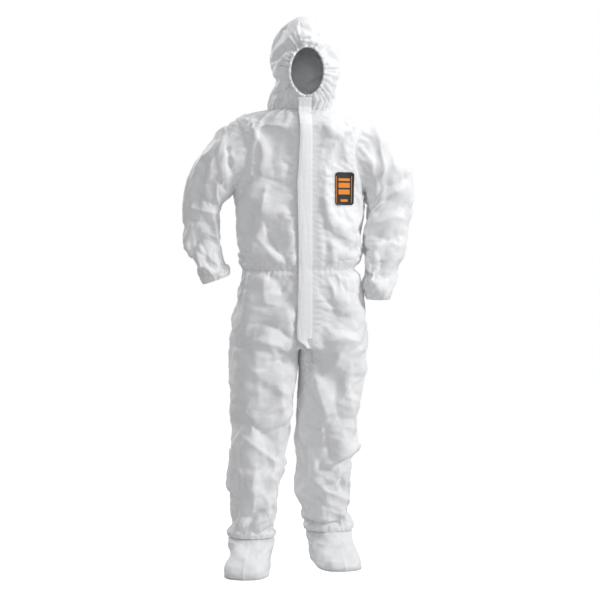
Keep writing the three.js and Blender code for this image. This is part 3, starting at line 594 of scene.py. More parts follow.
def armhole_value(points):
    """Below 1 inside the armhole's oval, seen from the side."""
    return (points[..., 1] / ARMHOLE_HALF_Y) ** 2 + ((points[..., 2] - ARMHOLE_MIDDLE) / ARMHOLE_HALF_Z) ** 2


def front_strip(points):
    """0 on the flat strip that the zip is sewn to, 1 away from it and on the back."""
    off = np.where(points[..., 0] > 0, blend_in(points[..., 0], 0.024, 0.10), blend_in(-points[..., 0], 0.012, 0.05))
    return np.where(points[..., 1] < 0, off, 1.0)


def face_mean(values, closed):
    """Values at a grid's points, averaged to its faces."""
    wide = np.concatenate([values, values[:, :1]], 1) if closed else values
    return (wide[:-1, :-1] + wide[1:, :-1] + wide[:-1, 1:] + wide[1:, 1:]) / 4


def folded(points, normal, folds, facing):
    """The sum of folds on the side of the cloth that faces that way along Y."""
    lift = np.zeros(points.shape[:2])
    for path, height, width, lean in folds:
        lift += fold(points, path, height, width, lean)
    return lift * blend_in(facing * normal[..., 1], 0.05, 0.5)


def bodice_rings(angles):
    return [oval(angles, (0, 0, up(z)), half * MM, front * MM, back * MM, roundness)
            for z, half, front, back, roundness in BODICE]


def under_patch(points):
    """0 where the film is sealed to the left chest, 1 away from it."""
    low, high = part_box("chest_patch")
    x, z = points[..., 0], points[..., 2]
    off_x = np.maximum(low[0] - x, x - high[0])
    off_z = np.maximum(low[2] - z, z - high[2])
    away = blend_in(np.maximum(off_x, off_z), 0.0, 0.03)
    return np.where(points[..., 1] < 0, away, 1.0)


def make_bodice():
    start = math.asin(0.02)
    angles = np.linspace(-math.pi / 2 + start, 1.5 * math.pi - start, BODY_COLUMNS + 1)
    points = smooth_rows(bodice_rings(angles), 130)
    edge = blend_in(points[:, 0, 2], up(745), up(775))
    points[:, 0, 0], points[:, -1, 0] = ZIP_SLOT * edge, -ZIP_SLOT * edge
    normal = outward(points, False)
    near_arm = blend_in(armhole_value(points), 1.02, 1.7)
    near_arm[np.abs(points[..., 0]) < 0.1] = 1
    above_waist = points[..., 2] - WAIST
    below_neck = NECK - points[..., 2]
    share = share_round(points)
    lift = gathers(share, np.maximum(above_waist, 0), 62, 0.0017, 0.022, 1.3)
    lift += gathers(share, below_neck, 26, 0.0022, 0.022, 4.1) * blend_in(np.abs(points[..., 0]), 0.03, 0.06)
    lift += drift(points, 0.13, 0.010, 2, (1, 1, 0.6)) * blend_in(above_waist, 0.0, 0.06)
    points = points + normal * (lift * near_arm * front_strip(points))[..., None]
    held = np.maximum.reduce([
        1 - near_arm,
        1 - blend_in(above_waist, 0.003, 0.02),
        1 - blend_in(below_neck, 0.004, 0.03),
        1 - front_strip(points),
    ])
    present = face_mean(armhole_value(points), False) > 1
    present |= face_mean(np.abs(points[..., 0]), False) < 0.1
    held = np.maximum(held, 1 - under_patch(points))
    points = settled(points, False, held, present, growth=0.035, cap=0.014)
    normal = outward(points, False)
    fine = folded(points, normal, BODICE_FOLDS, -1) + folded(points, normal, BACK_FOLDS, 1)
    fine = (fine + packed(points, False, 1, 0.011, 0.0045, 0.0013)) * under_patch(points)
    fine = fine * blend_in(above_waist, 0.0, 0.03) * blend_in(below_neck, 0.0, 0.03)
    points = points + normal * (fine * near_arm * front_strip(points) * blend_in(above_waist, -0.002, 0.01))[..., None]
    return snap_armholes(points, present), present


def snap_armholes(points, present):
    """Moves the cut edge of each armhole onto its oval."""
    counts = np.zeros(points.shape[:2])
    for dr, dc in ((0, 0), (0, 1), (1, 0), (1, 1)):
        counts[dr : dr + present.shape[0], dc : dc + present.shape[1]] += present
    inside = np.abs(points[..., 0]) > 0.1
    edge = inside & (counts > 0) & (counts < 4) & (np.abs(armhole_value(points) - 1) < 0.5)
    pull = 1 / np.sqrt(armhole_value(points))
    points = points.copy()
    points[..., 1] = np.where(edge, points[..., 1] * pull, points[..., 1])
    points[..., 2] = np.where(edge, ARMHOLE_MIDDLE + (points[..., 2] - ARMHOLE_MIDDLE) * pull, points[..., 2])
    return points


BODICE_POINTS, BODICE_PRESENT = make_bodice()


def column_piece(name, points, present, first, last):
    """The columns first to last of a grid as one sewn panel."""
    part = present[:, first:last]
    obj = cloth_piece(name, points[:, first : last + 1], NONWOVEN, False, part, uv_shift=(first * 0.005, 0.1))
    return obj


quarter = BODY_COLUMNS // 4
left_front = column_piece("left_front_bodice_cloth", BODICE_POINTS, BODICE_PRESENT, 0, quarter)
back = column_piece("back_bodice_cloth", BODICE_POINTS, BODICE_PRESENT, quarter, 3 * quarter)
right_front = column_piece("right_front_bodice_cloth", BODICE_POINTS, BODICE_PRESENT, 3 * quarter, 4 * quarter)
for panel, node in ((left_front, "left_front_bodice"), (back, "back_bodice"), (right_front, "right_front_bodice")):
    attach(panel, "trunk")
    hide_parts(node)
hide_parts("waist_elastic")

# ---------------------------------------------------------------- sleeves

# Outer edge (x, height), inner edge (x, height), middle y, half depth, down the sleeve.
SLEEVES = {
    RIGHT: [
        ((-257, 1450), (-229, 1231), 0, 86),
        ((-297, 1401), (-247, 1214), 0, 80),
        ((-332, 1343), (-262, 1197), 0, 72),
        ((-360, 1285), (-268, 1178), 0, 65),
        ((-372, 1225), (-266, 1150), 0, 60),
        ((-373, 1165), (-262, 1108), -4, 58),
        ((-368, 1090), (-254, 1058), -14, 54),
        ((-359, 1035), (-245, 1015), -24, 51),
        ((-345, 985), (-237, 988), -33, 49),
        ((-326, 936), (-229, 973), -41, 47),
    ],
    LEFT: [
        ((257, 1454), (229, 1231), 0, 86),
        ((300, 1414), (240, 1214), 0, 80),
        ((344, 1360), (245, 1196), 0, 72),
        ((370, 1290), (240, 1172), 0, 65),
        ((376, 1228), (234, 1142), 0, 60),
        ((366, 1165), (228, 1108), -4, 57),
        ((357, 1095), (222, 1062), -14, 54),
        ((344, 1030), (220, 1020), -26, 51),
        ((327, 975), (215, 972), -36, 49),
        ((312, 925), (213, 928), -43, 47),
        ((303, 883), (220, 884), -46, 45),
    ],
}

SLEEVE_FOLDS = {
    RIGHT: [
        ([(-222, 1478), (-268, 1400), (-305, 1320), (-322, 1240)], 6, 7, 1.4),
        ([(-246, 1400), (-236, 1330), (-214, 1280)], -9, 12, 1.4),
        ([(-300, 1300), (-262, 1262), (-232, 1236)], -8, 11, 1.0),
        ([(-368, 1250), (-320, 1215), (-270, 1196)], -7, 10, 1.0),
        ([(-372, 1200), (-330, 1180), (-268, 1172)], 7, 11, 1.0),
        ([(-368, 1150), (-320, 1142), (-270, 1128)], -6, 10, 1.0),
        ([(-352, 1230), (-356, 1150), (-352, 1060), (-330, 980)], 5, 10, 1.2),
        ([(-345, 1075), (-300, 1020), (-262, 990)], 6, 13, 1.0),
        ([(-360, 1100), (-310, 1085), (-268, 1070)], -4, 12, 1.0),
    ],
    LEFT: [
        ([(240, 1470), (262, 1400), (272, 1330), (262, 1270)], 6, 8, 1.0),
        ([(282, 1440), (300, 1380), (310, 1300)], 5, 12, 1.0),
        ([(370, 1300), (320, 1270), (272, 1262)], -8, 11, 1.0),
        ([(350, 1262), (300, 1240), (250, 1215)], 8, 11, 1.0),
        ([(300, 1230), (270, 1200), (240, 1175)], -7, 9, 1.0),
        ([(372, 1215), (330, 1185), (285, 1180), (240, 1165)], -6, 10, 1.0),
        ([(364, 1150), (310, 1160), (240, 1130)], 7, 10, 1.0),
        ([(358, 1110), (300, 1080), (230, 1100)], -7, 11, 1.0),
        ([(345, 1050), (300, 1075), (235, 1050)], 6, 12, 1.0),
        ([(335, 1010), (300, 975), (250, 955)], -4, 12, 1.0),
    ],
}
SLEEVE_COLUMNS, SLEEVE_ROWS = 112, 120
HEAD_LENGTH, ELBOW_REACH = 0.13, 0.075


def armhole_ring(side, angles, inset):
    """The armhole's oval laid on the bodice's cloth, smaller by inset, or larger if that is negative."""
    y = -ARMHOLE_HALF_Y * np.sin(angles) * (1 - inset)
    z = ARMHOLE_MIDDLE + ARMHOLE_HALF_Z * np.cos(angles) * (1 - inset)
    wanted = BODICE_POINTS[..., 0] * side > 0.1
    cloud = BODICE_POINTS[wanted]
    x = []
    for a, b in zip(y, z):
        far = (cloud[:, 1] - a) ** 2 + (cloud[:, 2] - b) ** 2
        x.append(cloud[np.argsort(far)[:4], 0].mean())
    x = np.array(x)
    for _ in range(3):
        x = (np.roll(x, 1) + x * 2 + np.roll(x, -1)) / 4
    return np.stack([x, y, z], 1)


def sleeve_ring(outer, inner, middle_y, half_depth, angles):
    out = np.array([outer[0] * MM, 0, up(outer[1])])
    into = np.array([inner[0] * MM, 0, up(inner[1])])
    centre, reach = (out + into) / 2, (out - into) / 2
    c = np.sign(np.cos(angles)) * np.abs(np.cos(angles)) ** 0.92
    s = np.sign(np.sin(angles)) * np.abs(np.sin(angles)) ** 0.92
    ring = centre + reach * c[:, None]
    ring[:, 1] += middle_y * MM - half_depth * MM * s
    return ring


def make_sleeve(side):
    angles = np.linspace(0, 2 * math.pi, SLEEVE_COLUMNS, endpoint=False)
    seam = armhole_ring(side, angles, 0.0)
    tucked = armhole_ring(side, angles, -0.035) - np.array([side * 0.004, 0, 0.004])
    deeper = armhole_ring(side, angles, -0.10) - np.array([side * 0.008, 0, 0.008])
    rings = [deeper, tucked, seam] + [sleeve_ring(*row, angles) for row in SLEEVES[side]]
    points = smooth_rows(rings, SLEEVE_ROWS)
    normal = outward(points, True)
    along = lengths(points, True)[1][:, None]
    along = np.broadcast_to(along, points.shape[:2])
    to_cuff = along.max() - along
    share = share_round(points)
    body_end = blend_in(along, 0.01, 0.09)
    lift = drift(points, 0.07, 0.007, 3 + side, (1, 1, 0.8)) * body_end * blend_in(to_cuff, 0.0, 0.05)
    lift += gathers(share, along, 30, 0.0010, 0.02, 2.0 + side)
    lift += gathers(share, to_cuff, 26, 0.0028, 0.028, 3.0 + side)
    lift -= 0.007 * np.exp(-to_cuff / 0.010)
    points = points + normal * lift[..., None]
    held = np.maximum(1 - blend_in(along, 0.02, 0.09), 1 - blend_in(to_cuff, 0.004, 0.03))
    points = settled(points, True, held, growth=0.05, cap=0.012)
    normal = outward(points, True)
    mirrored = [([(-x, z - 12) for x, z in path], height * 0.9, width, lean)
                for path, height, width, lean in SLEEVE_FOLDS[-side]]
    fine = folded(points, normal, SLEEVE_FOLDS[side], -1) + folded(points, normal, mirrored, 1)
    fine = (fine + packed(points, True, 25 + 5 * side, 0.011, 0.0065, 0.0016)) * blend_in(to_cuff, 0.0, 0.04)
    return points + normal * (fine * body_end * blend_in(to_cuff, 0, 0.02))[..., None]


def joint_point(name):
    return Vector(JOINTS[name]["pos_m"])


def build_sleeve(side):
    name = SIDE_NAMES[side]
    points = make_sleeve(side)
    along = lengths(points, True)[1]
    cut = int(np.searchsorted(along, HEAD_LENGTH))
    head = cloth_piece(f"{name}_sleeve_head_cloth", points[: cut + 1], NONWOVEN, uv_shift=(1.0 * side, 0))
    lower = cloth_piece(f"{name}_sleeve_cloth", points[cut:], NONWOVEN, uv_shift=(1.0 * side, along[cut]))
    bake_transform(head)
    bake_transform(lower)
    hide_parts(f"{name}_shoulder_cloth")
    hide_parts(f"{name}_sleeve_upper", f"{name}_elbow_cloth", f"{name}_sleeve_lower", f"{name}_wrist_elastic")
    return points, head, lower


SLEEVE_PIECES = {side: build_sleeve(side) for side in (RIGHT, LEFT)}

# ---------------------------------------------------------------- trousers

# Height, half width, front depth, back depth, roundness.
TROUSER_TOP = [
    (990, 183, 124, 103, 0.86),
    (976, 190, 127, 108, 0.86),
    (950, 197, 128, 114, 0.86),
    (915, 206, 128, 123, 0.86),
    (870, 216, 128, 130, 0.87),
    (825, 222, 128, 132, 0.88),
    (780, 224, 126, 129, 0.9),
    (745, 225, 122, 122, 0.92),
]

# Height, outer edge, inner edge, middle y, half depth.
LEGS = {
    RIGHT: [
        (705, 228, 0, 0, 116), (670, 229, 2, -1, 112), (635, 227, 6, -4, 109), (595, 225, 12, -9, 107),
        (554, 229, 20, -16, 103), (514, 230, 27, -24, 99), (474, 228, 39, -30, 95), (434, 235, 49, -35, 92),
        (394, 237, 56, -40, 90), (354, 239, 58, -45, 88), (314, 244, 68, -50, 86), (274, 248, 79, -54, 84),
        (234, 241, 82, -58, 82), (194, 240, 81, -62, 81), (160, 240, 83, -65, 80), (136, 243, 85, -67, 79),
        (122, 246, 83, -68, 82), (108, 244, 85, -68, 82),
    ],
    LEFT: [
        (705, 214, 0, 0, 116), (670, 218, 2, 1, 112), (635, 215, 4, 2, 109), (595, 207, 5, 3, 107),
        (554, 201, 8, 4, 103), (514, 198, 10, 4, 98), (474, 196, 11, 4, 94), (434, 197, 13, 6, 91),
        (394, 202, 18, 9, 89), (354, 186, 22, 12, 87), (314, 181, 22, 15, 85), (274, 184, 13, 18, 83),
        (234, 183, 12, 21, 81), (194, 185, 17, 24, 80), (160, 187, 20, 25, 79), (136, 190, 24, 26, 78),
        (122, 193, 23, 26, 82), (108, 191, 25, 26, 82),
    ],
}

LEG_FOLDS = {
    RIGHT: [
        ([(-12, 960), (-24, 890), (-20, 820), (-14, 760)], -5, 9, 1.0),
        ([(-40, 975), (-62, 930), (-80, 900)], -5, 8, 1.0),
        ([(-120, 975), (-130, 920), (-120, 860)], 5, 14, 1.0),
        ([(-30, 745), (-75, 790), (-130, 812), (-190, 806)], -9, 13, 1.0),
        ([(-28, 700), (-80, 742), (-140, 752), (-205, 740)], 8, 14, 1.0),
        ([(-22, 665), (-70, 690), (-130, 690)], -6, 12, 1.0),
        ([(-200, 700), (-150, 640), (-90, 600)], 5, 20, 1.0),
        ([(-150, 840), (-160, 740), (-150, 620), (-140, 520)], 5, 22, 1.0),
        ([(-60, 620), (-70, 560), (-60, 500)], 5, 16, 1.0),
        ([(-218, 520), (-160, 470), (-90, 420)], -8, 13, 1.0),
        ([(-225, 455), (-170, 420), (-110, 370), (-62, 345)], 8, 14, 1.0),
        ([(-40, 480), (-100, 455), (-160, 440)], -6, 12, 1.0),
        ([(-60, 390), (-120, 340), (-190, 320)], -8, 12, 1.0),
        ([(-232, 360), (-190, 300), (-170, 240)], 6, 14, 1.0),
        ([(-95, 330), (-120, 250), (-130, 180)], 5, 16, 1.0),
        ([(-225, 215), (-190, 180), (-150, 168)], -7, 12, 1.0),
        ([(-100, 200), (-130, 165), (-180, 150)], 6, 12, 1.0),
    ],
    LEFT: [
        ([(38, 965), (60, 905), (90, 870), (120, 850)], -5, 9, 1.0),
        ([(70, 975), (98, 925), (104, 880)], 5, 10, 1.0),
        ([(140, 975), (146, 920), (138, 860)], 5, 13, 1.0),
        ([(28, 745), (70, 795), (120, 830), (180, 830)], -9, 13, 1.0),
        ([(26, 705), (75, 745), (130, 765), (200, 745)], 8, 14, 1.0),
        ([(20, 670), (60, 700), (120, 705)], -6, 12, 1.0),
        ([(40, 640), (60, 560), (90, 480)], 6, 18, 1.0),
        ([(170, 700), (160, 600), (166, 500)], 5, 18, 1.0),
        ([(120, 640), (110, 560), (130, 470)], -5, 16, 1.0),
        ([(205, 408), (160, 380), (110, 345), (60, 335)], 12, 12, 1.0),
        ([(200, 372), (150, 345), (100, 318)], -10, 10, 1.0),
        ([(20, 400), (70, 395), (130, 420)], -6, 12, 1.0),
        ([(170, 310), (110, 270), (40, 250)], -9, 12, 1.0),
        ([(30, 300), (80, 250), (150, 215), (180, 200)], 10, 12, 1.0),
        ([(35, 240), (85, 195), (150, 165)], -12, 12, 1.0),
        ([(60, 215), (110, 180), (170, 150)], 9, 12, 1.0),
        ([(25, 170), (70, 150), (110, 148)], 6, 12, 1.0),
    ],
}


def make_leg(side):
    """Half the seat and one trouser leg, as one grid: front rise, round the outside, back rise, inside leg."""
    outer_turn = np.linspace(-math.pi / 2, math.pi / 2, LEG_OUTER)
    down = math.radians(140)
    leg_turn = np.r_[np.linspace(-down, down, LEG_OUTER), np.linspace(down, 2 * math.pi - down, LEG_INNER + 2)[1:-1]]
    rings = []
    for z, half, front, back, roundness in TROUSER_TOP:
        ring = oval(outer_turn, (0, 0, up(z)), half * MM, front * MM, back * MM, roundness)
        inside = np.linspace(back, -front, LEG_INNER + 2)[1:-1] * MM
        plane = np.stack([np.zeros(LEG_INNER), inside, np.full(LEG_INNER, up(z))], 1)
        rings.append(np.concatenate([ring, plane]))
    for z, outer, inner, middle_y, depth in LEGS[side]:
        centre = ((outer + inner) / 2 * MM, middle_y * MM, up(z))
        rings.append(oval(leg_turn, centre, (outer - inner) / 2 * MM, depth * MM, depth * MM, 0.9))
    points = smooth_rows(rings, 190)
    points[..., 0] *= side
    slot_open = ZIP_SLOT * blend_in(points[:, 0, 2], up(745), up(775))
    above = points[:, 0, 2] > up(745)
    points[:, 0, 0] = np.where(above, side * slot_open, points[:, 0, 0])
    return points


def finish_leg(side):
    points = make_leg(side)
    normal = outward(points, True)
    below_waist = WAIST - points[..., 2]
    along = np.broadcast_to(lengths(points, True)[1][:, None], points.shape[:2])
    to_ankle = along.max() - along
    share = share_round(points)
    top = points[..., 2] > CROTCH
    strip = np.where(top, front_strip(points), 1.0)
    near_middle = 1 - blend_in(np.abs(points[..., 0]), 0.001, 0.028)
    rise = 1 - near_middle * blend_in(points[..., 2], up(420), up(640))
    lift = drift(points, 0.10, 0.009, 6 + side, (1, 1, 0.8))
    lift *= blend_in(below_waist, 0.0, 0.04) * blend_in(to_ankle, 0.0, 0.05)
    lift += gathers(share, np.maximum(below_waist, 0), 48, 0.0017, 0.024, 6.0 + side)
    lift += gathers(share, to_ankle, 26, 0.0020, 0.03, 9.0 + side)
    points = points + normal * (lift * strip * rise)[..., None]
    held = np.maximum.reduce([1 - blend_in(below_waist, 0.003, 0.02), 1 - blend_in(to_ankle, 0.01, 0.03), 1 - strip, 1 - rise])
    points = settled(points, True, held, leg_present(points), growth=0.04, cap=0.014)
    normal = outward(points, True)
    mirrored = [([(-x, z + 10) for x, z in path], height, width, lean)
                for path, height, width, lean in LEG_FOLDS[-side] if path[0][1] < 860]
    fine = folded(points, normal, LEG_FOLDS[side], -1) + folded(points, normal, mirrored, 1)
    fine = (fine + packed(points, True, 45 + 5 * side, 0.017, 0.0075, 0.0018)) * blend_in(below_waist, 0, 0.03)
    fine = fine * blend_in(to_ankle, 0.004, 0.06)
    keep = blend_in(below_waist, 0, 0.01) * blend_in(to_ankle, 0, 0.02)
    return points + normal * (fine * strip * rise * keep)[..., None]


def leg_present(points):
    """Above the crotch the inside of the leg has no cloth: the two halves are one seat."""
    present = np.ones((points.shape[0] - 1, points.shape[1]), bool)
    high = face_mean(points[..., 2], True) > up(742)
    present[:, LEG_OUTER - 1 :] &= ~high[:, LEG_OUTER - 1 :]
    return present


def build_leg(side):
    name = SIDE_NAMES[side]
    points = finish_leg(side)
    present = leg_present(points)
    heights = points[:, LEG_OUTER // 2, 2]
    thigh_row = int(np.searchsorted(-heights, -up(610)))
    shin_row = int(np.searchsorted(-heights, -up(300)))
    wrap = np.concatenate([points, points[:, :1]], 1)
    seat_from, seat_to = LEG_OUTER // 2, LEG_OUTER + LEG_INNER // 2
    top = wrap[: thigh_row + 1]
    front_points = np.concatenate([top[:, seat_to:], top[:, 1 : seat_from + 1]], 1)
    front_present = np.concatenate([present[:thigh_row, seat_to:], present[:thigh_row, :seat_from]], 1)
    front = cloth_piece(f"{name}_front_hip_cloth", front_points, NONWOVEN, False, front_present, uv_shift=(2.0 * side, 0))
    seat = cloth_piece(f"{name}_seat_cloth", top[:, seat_from : seat_to + 1], NONWOVEN, False,
                       present[:thigh_row, seat_from:seat_to], uv_shift=(2.5 * side, 0))
    thigh = cloth_piece(f"{name}_thigh_cloth", points[thigh_row : shin_row + 1], NONWOVEN, uv_shift=(3.0 * side, 0))
    shin = cloth_piece(f"{name}_shin_cloth", points[shin_row:], NONWOVEN, uv_shift=(3.0 * side, 0.4))
    for piece in (front, seat):
        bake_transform(piece)
    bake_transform(thigh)
    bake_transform(shin)
    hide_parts(f"{name}_front_hip", f"{name}_hip_cloth")
    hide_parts(f"{name}_thigh", f"{name}_knee_cloth")
    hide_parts(f"{name}_shin", f"{name}_ankle_cloth")
    return points, front, seat, thigh, shin


LEG_PIECES = {side: build_leg(side) for side in (RIGHT, LEFT)}
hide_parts("seat_panel")

# ---------------------------------------------------------------- boots

# Height, half width, toe reach and heel reach from the ankle's axis.
BOOT = [
    (120, 70, 70, 70), (112, 71, 74, 73), (102, 74, 86, 81), (92, 75, 102, 86), (80, 75, 128, 89.5),
    (64, 72, 160, 90), (46, 72, 191, 91), (30, 72.5, 209, 92), (17, 73, 217, 92.5), (8, 73, 217, 92), (3.5, 72, 215, 91),
]
# Share of the boot's length from the heel, share of its half width.
SOLE_OUTLINE = [
    (0, 0), (0.01, 0.3), (0.03, 0.5), (0.1, 0.76), (0.25, 0.86), (0.42, 0.9),
    (0.58, 0.97), (0.74, 1), (0.87, 0.88), (0.96, 0.6), (0.99, 0.33), (1, 0),
]
TOE_OUT = {RIGHT: 14, LEFT: 5}
BOOT_COLUMNS, BOOT_ROWS = 120, 46


def build_boot(side):
    name = SIDE_NAMES[side]
    ankle = joint_point(f"{name}_ankle_bend")
    angles = np.linspace(-math.pi / 2, 1.5 * math.pi, BOOT_COLUMNS, endpoint=False)
    rings = []
    for z, half, toe, heel in BOOT:
        ring = oval(angles, (0, 0, up(z)), half * MM, toe * MM, heel * MM, 0.92)
        share = (heel * MM - ring[:, 1]) / ((heel + toe) * MM)
        plan = np.interp(share, *zip(*SOLE_OUTLINE)) * half * MM * np.sign(np.cos(angles))
        low = blend_in(-z, -85.0, -30.0)
        ring[:, 0] = ring[:, 0] * (1 - low) + plan * low
        rings.append(ring)
    points = smooth_rows(rings, BOOT_ROWS)
    turn = math.radians(TOE_OUT[side]) * side
    rotation = np.array([[math.cos(turn), -math.sin(turn), 0], [math.sin(turn), math.cos(turn), 0], [0, 0, 1]])
    seam = np.exp(-np.abs(points[..., 0]) / 0.003) * (points[..., 1] < -0.03)
    normal = outward(points, True)
    from_top = up(117) - points[..., 2]
    share = share_round(points)
    lift = gathers(share, np.maximum(from_top, 0), 28, 0.0014, 0.012, 12 + side)
    lift += drift(points, 0.05, 0.006, 21 + side) * blend_in(from_top, 0.0, 0.02) * blend_in(points[..., 2], up(6), up(30))
    loose = blend_in(points[..., 2], up(5), up(20)) * blend_in(from_top, 0.006, 0.03)
    lift += packed(points, True, 85 + 5 * side, 0.008, 0.0055, 0.002) * loose
    lift += 0.0018 * seam
    points = points + normal * lift[..., None]
    points = points @ rotation.T + np.array([ankle.x, ankle.y, 0])
    obj = cloth_piece(f"{name}_boot_cloth", points, NONWOVEN, uv_shift=(4.0 * side, 0))
    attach(obj, f"{name}_boot")
    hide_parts(f"{name}_boot_upper", f"{name}_ankle_elastic")
    return obj


BOOT_PIECES = {side: build_boot(side) for side in (RIGHT, LEFT)}

# ---------------------------------------------------------------- hood

# Height, middle x, half width, front reach, back reach.
HOOD = [
    (1506, 0, 104, 87, 96), (1520, 5, 100, 90, 96), (1540, 10, 96, 100, 99), (1565, 14, 96, 116, 104),
    (1600, 16, 99, 128, 113), (1640, 17, 102, 132, 119), (1680, 18, 103, 129, 121), (1715, 17, 99, 121, 119),
    (1748, 16, 88, 107, 110), (1778, 15, 70, 86, 92), (1802, 14, 47, 58, 64), (1816, 14, 25, 32, 36),
    (1822, 14, 9, 12, 13), (1823.5, 14, 0.4, 0.5, 0.5),
]
FACE_MIDDLE, FACE_HALF_X, FACE_HALF_Z = Vector((0.014, 0, up(1634))), 0.057, 0.080
HOOD_COLUMNS = 190


def face_value(points):
    """Below 1 inside the face opening's oval, seen from the front."""
    across = (points[..., 0] - FACE_MIDDLE.x) / FACE_HALF_X
    return np.sqrt(across ** 2 + ((points[..., 2] - FACE_MIDDLE.z) / FACE_HALF_Z) ** 2)


def make_hood():
    angles = np.linspace(-math.pi / 2, 1.5 * math.pi, HOOD_COLUMNS, endpoint=False)
    rings = [oval(angles, (x * MM, -0.002, up(z)), half * MM, front * MM, back * MM, 0.92)
             for z, x, half, front, back in HOOD]
    points = smooth_rows(rings, 110)
    normal = outward(points, True)
    front = points[..., 1] < 0.0
    value = np.where(front, face_value(points), 9.0)
    distance = np.maximum(value - 1, 0) * 0.07
    turn = np.arctan2(points[..., 2] - FACE_MIDDLE.z, points[..., 0] - FACE_MIDDLE.x)
    pucker = np.zeros(points.shape[:2])
    for count, weight, seed in ((26, 1.0, 1.7), (43, 0.55, 5.2), (15, 0.7, 9.4)):
        wander = np.array([noise.noise(Vector((math.cos(a) * 1.8, math.sin(a) * 1.8, seed))) for a in turn.reshape(-1)])
        wander = wander.reshape(turn.shape)
        own = 0.028 * (0.6 + 1.8 * np.abs(wander))
        pucker += weight * (1 - 2 * np.abs(np.sin(turn * count / 2 + wander * 4)) ** 0.8) * np.exp(-distance / own)
    pucker *= 0.0052 * np.where(front, 1, 0)
    above = points[..., 2] - up(1508)
    share = share_round(points)
    lift = pucker + gathers(share, np.maximum(above, 0), 22, 0.0045, 0.045, 14.0)
    lump = drift(points, 0.055, 0.012, 31, (1.3, 1, 1)) + drift(points, 0.03, 0.004, 37)
    crown = blend_in(up(1824) - points[..., 2], 0.0, 0.05)
    lift += lump * blend_in(above, 0, 0.04) * crown * blend_in(distance, 0, 0.02)
    points = points + normal * lift[..., None]
    held = np.maximum.reduce([1 - blend_in(above, 0.005, 0.02), 1 - blend_in(distance, 0.0, 0.006), 1 - crown])
    present = face_mean(np.where(points[..., 1] < 0, face_value(points), 9.0), True) > 1
    points = settled(points, True, held, present, growth=0.06, cap=0.012)
    normal = outward(points, True)
    fine = packed(points, True, 71, 0.006, 0.0042, 0.0016)
    points = points + normal * (fine * blend_in(above, 0, 0.02) * crown)[..., None]
    counts = np.zeros(points.shape[:2])
    for dr in (0, 1):
        for dc in (0, 1):
            counts[dr : dr + present.shape[0]] += np.roll(present, dc, 1)
    value = face_value(points)
    edge = (counts > 0) & (counts < 4) & (np.abs(value - 1) < 0.3) & (points[..., 1] < 0)
    pull = np.where(edge, 1 / value, 1.0)
    points[..., 0] = FACE_MIDDLE.x + (points[..., 0] - FACE_MIDDLE.x) * pull
    points[..., 2] = FACE_MIDDLE.z + (points[..., 2] - FACE_MIDDLE.z) * pull
    return points, present


def surface_of(points, closed, present=None):
    faces = grid_faces(points.shape[0], points.shape[1], closed, present)
    return BVHTree.FromPolygons(points.reshape(-1, 3).tolist(), faces.tolist())


def front_of(tree, x, z, fallback):
    """Where a line from the front meets a surface."""
    hit = tree.ray_cast(Vector((x, -1, z)), Vector((0, 1, 0)))
    return hit[0].y if hit[0] is not None and hit[0].y < 0 else fallback


def build_hood():
    points, present = make_hood()
    hood = cloth_piece("hood_cloth", points, NONWOVEN, True, present, uv_shift=(6, 0))
    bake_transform(hood)
    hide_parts("hood_centre_panel", "hood_right_panel", "hood_left_panel", "neck_cloth")
    tree = surface_of(points, True, present)
    around, section = 260, 14
    ring = []
    last_y = -0.12
    for step in range(around):
        a = 2 * math.pi * step / around
        x = FACE_MIDDLE.x + math.cos(a) * FACE_HALF_X * 1.03
        z = FACE_MIDDLE.z + math.sin(a) * FACE_HALF_Z * 1.02
        last_y = front_of(tree, x, z, last_y)
        ring.append((x, last_y, z))
    ring = np.array(ring)
    for _ in range(6):
        ring[:, 1] = (np.roll(ring[:, 1], 1) + 2 * ring[:, 1] + np.roll(ring[:, 1], -1)) / 4
    hem = np.empty((around, section, 3))
    for step in range(around):
        a = 2 * math.pi * step / around
        out = np.array([math.cos(a), 0, math.sin(a)])
        wander = noise.noise(Vector((math.cos(a) * 6, math.sin(a) * 6, 3)))
        plump = 1 + 0.28 * math.sin(a * 74 + wander * 5) * (0.6 + wander)
        for turn in range(section):
            t = 2 * math.pi * turn / section
            hem[step, turn] = ring[step] + out * (0.0048 * math.cos(t) - 0.001) * (0.9 + 0.1 * plump)
            hem[step, turn, 1] += 0.0024 * math.sin(t) * plump - 0.0015
    hem = np.concatenate([hem, hem[:1]])
    band = cloth_piece("face_opening_hem", hem, BAND, True, thick=0, uv_shift=(8, 0))
    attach(band, "hood")
    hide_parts("face_elastic")
    return points, hood, band


HOOD_POINTS, HOOD_PIECE, HEM_PIECE = build_hood()

# ---------------------------------------------------------------- storm flap and chin flap

FLAP_FREE, FLAP_SEAM = -0.020, 0.030
FLAP_LOW, FLAP_TOP = up(730), up(1474)
BODICE_TREE = surface_of(BODICE_POINTS, False, BODICE_PRESENT)
LEFT_LEG_TREE = surface_of(LEG_PIECES[LEFT][0], True, leg_present(LEG_PIECES[LEFT][0]))


def zip_front(z):
    """How far forward the zip lies: level up the chest, leaning back at the neck."""
    heights = [up(h) for h in (720, 1440, 1462, 1482, 1500, 1520, 1552)]
    return np.interp(z, heights, [-0.1285, -0.1285, -0.1262, -0.1190, -0.1080, -0.1000, -0.1130])


def seam_front(z):
    """How far forward the cloth lies at the flap's seam."""
    if z > NECK - 0.012:
        return zip_front(z)
    return front_of(BODICE_TREE if z > WAIST else LEFT_LEG_TREE, FLAP_SEAM, z, zip_front(z))


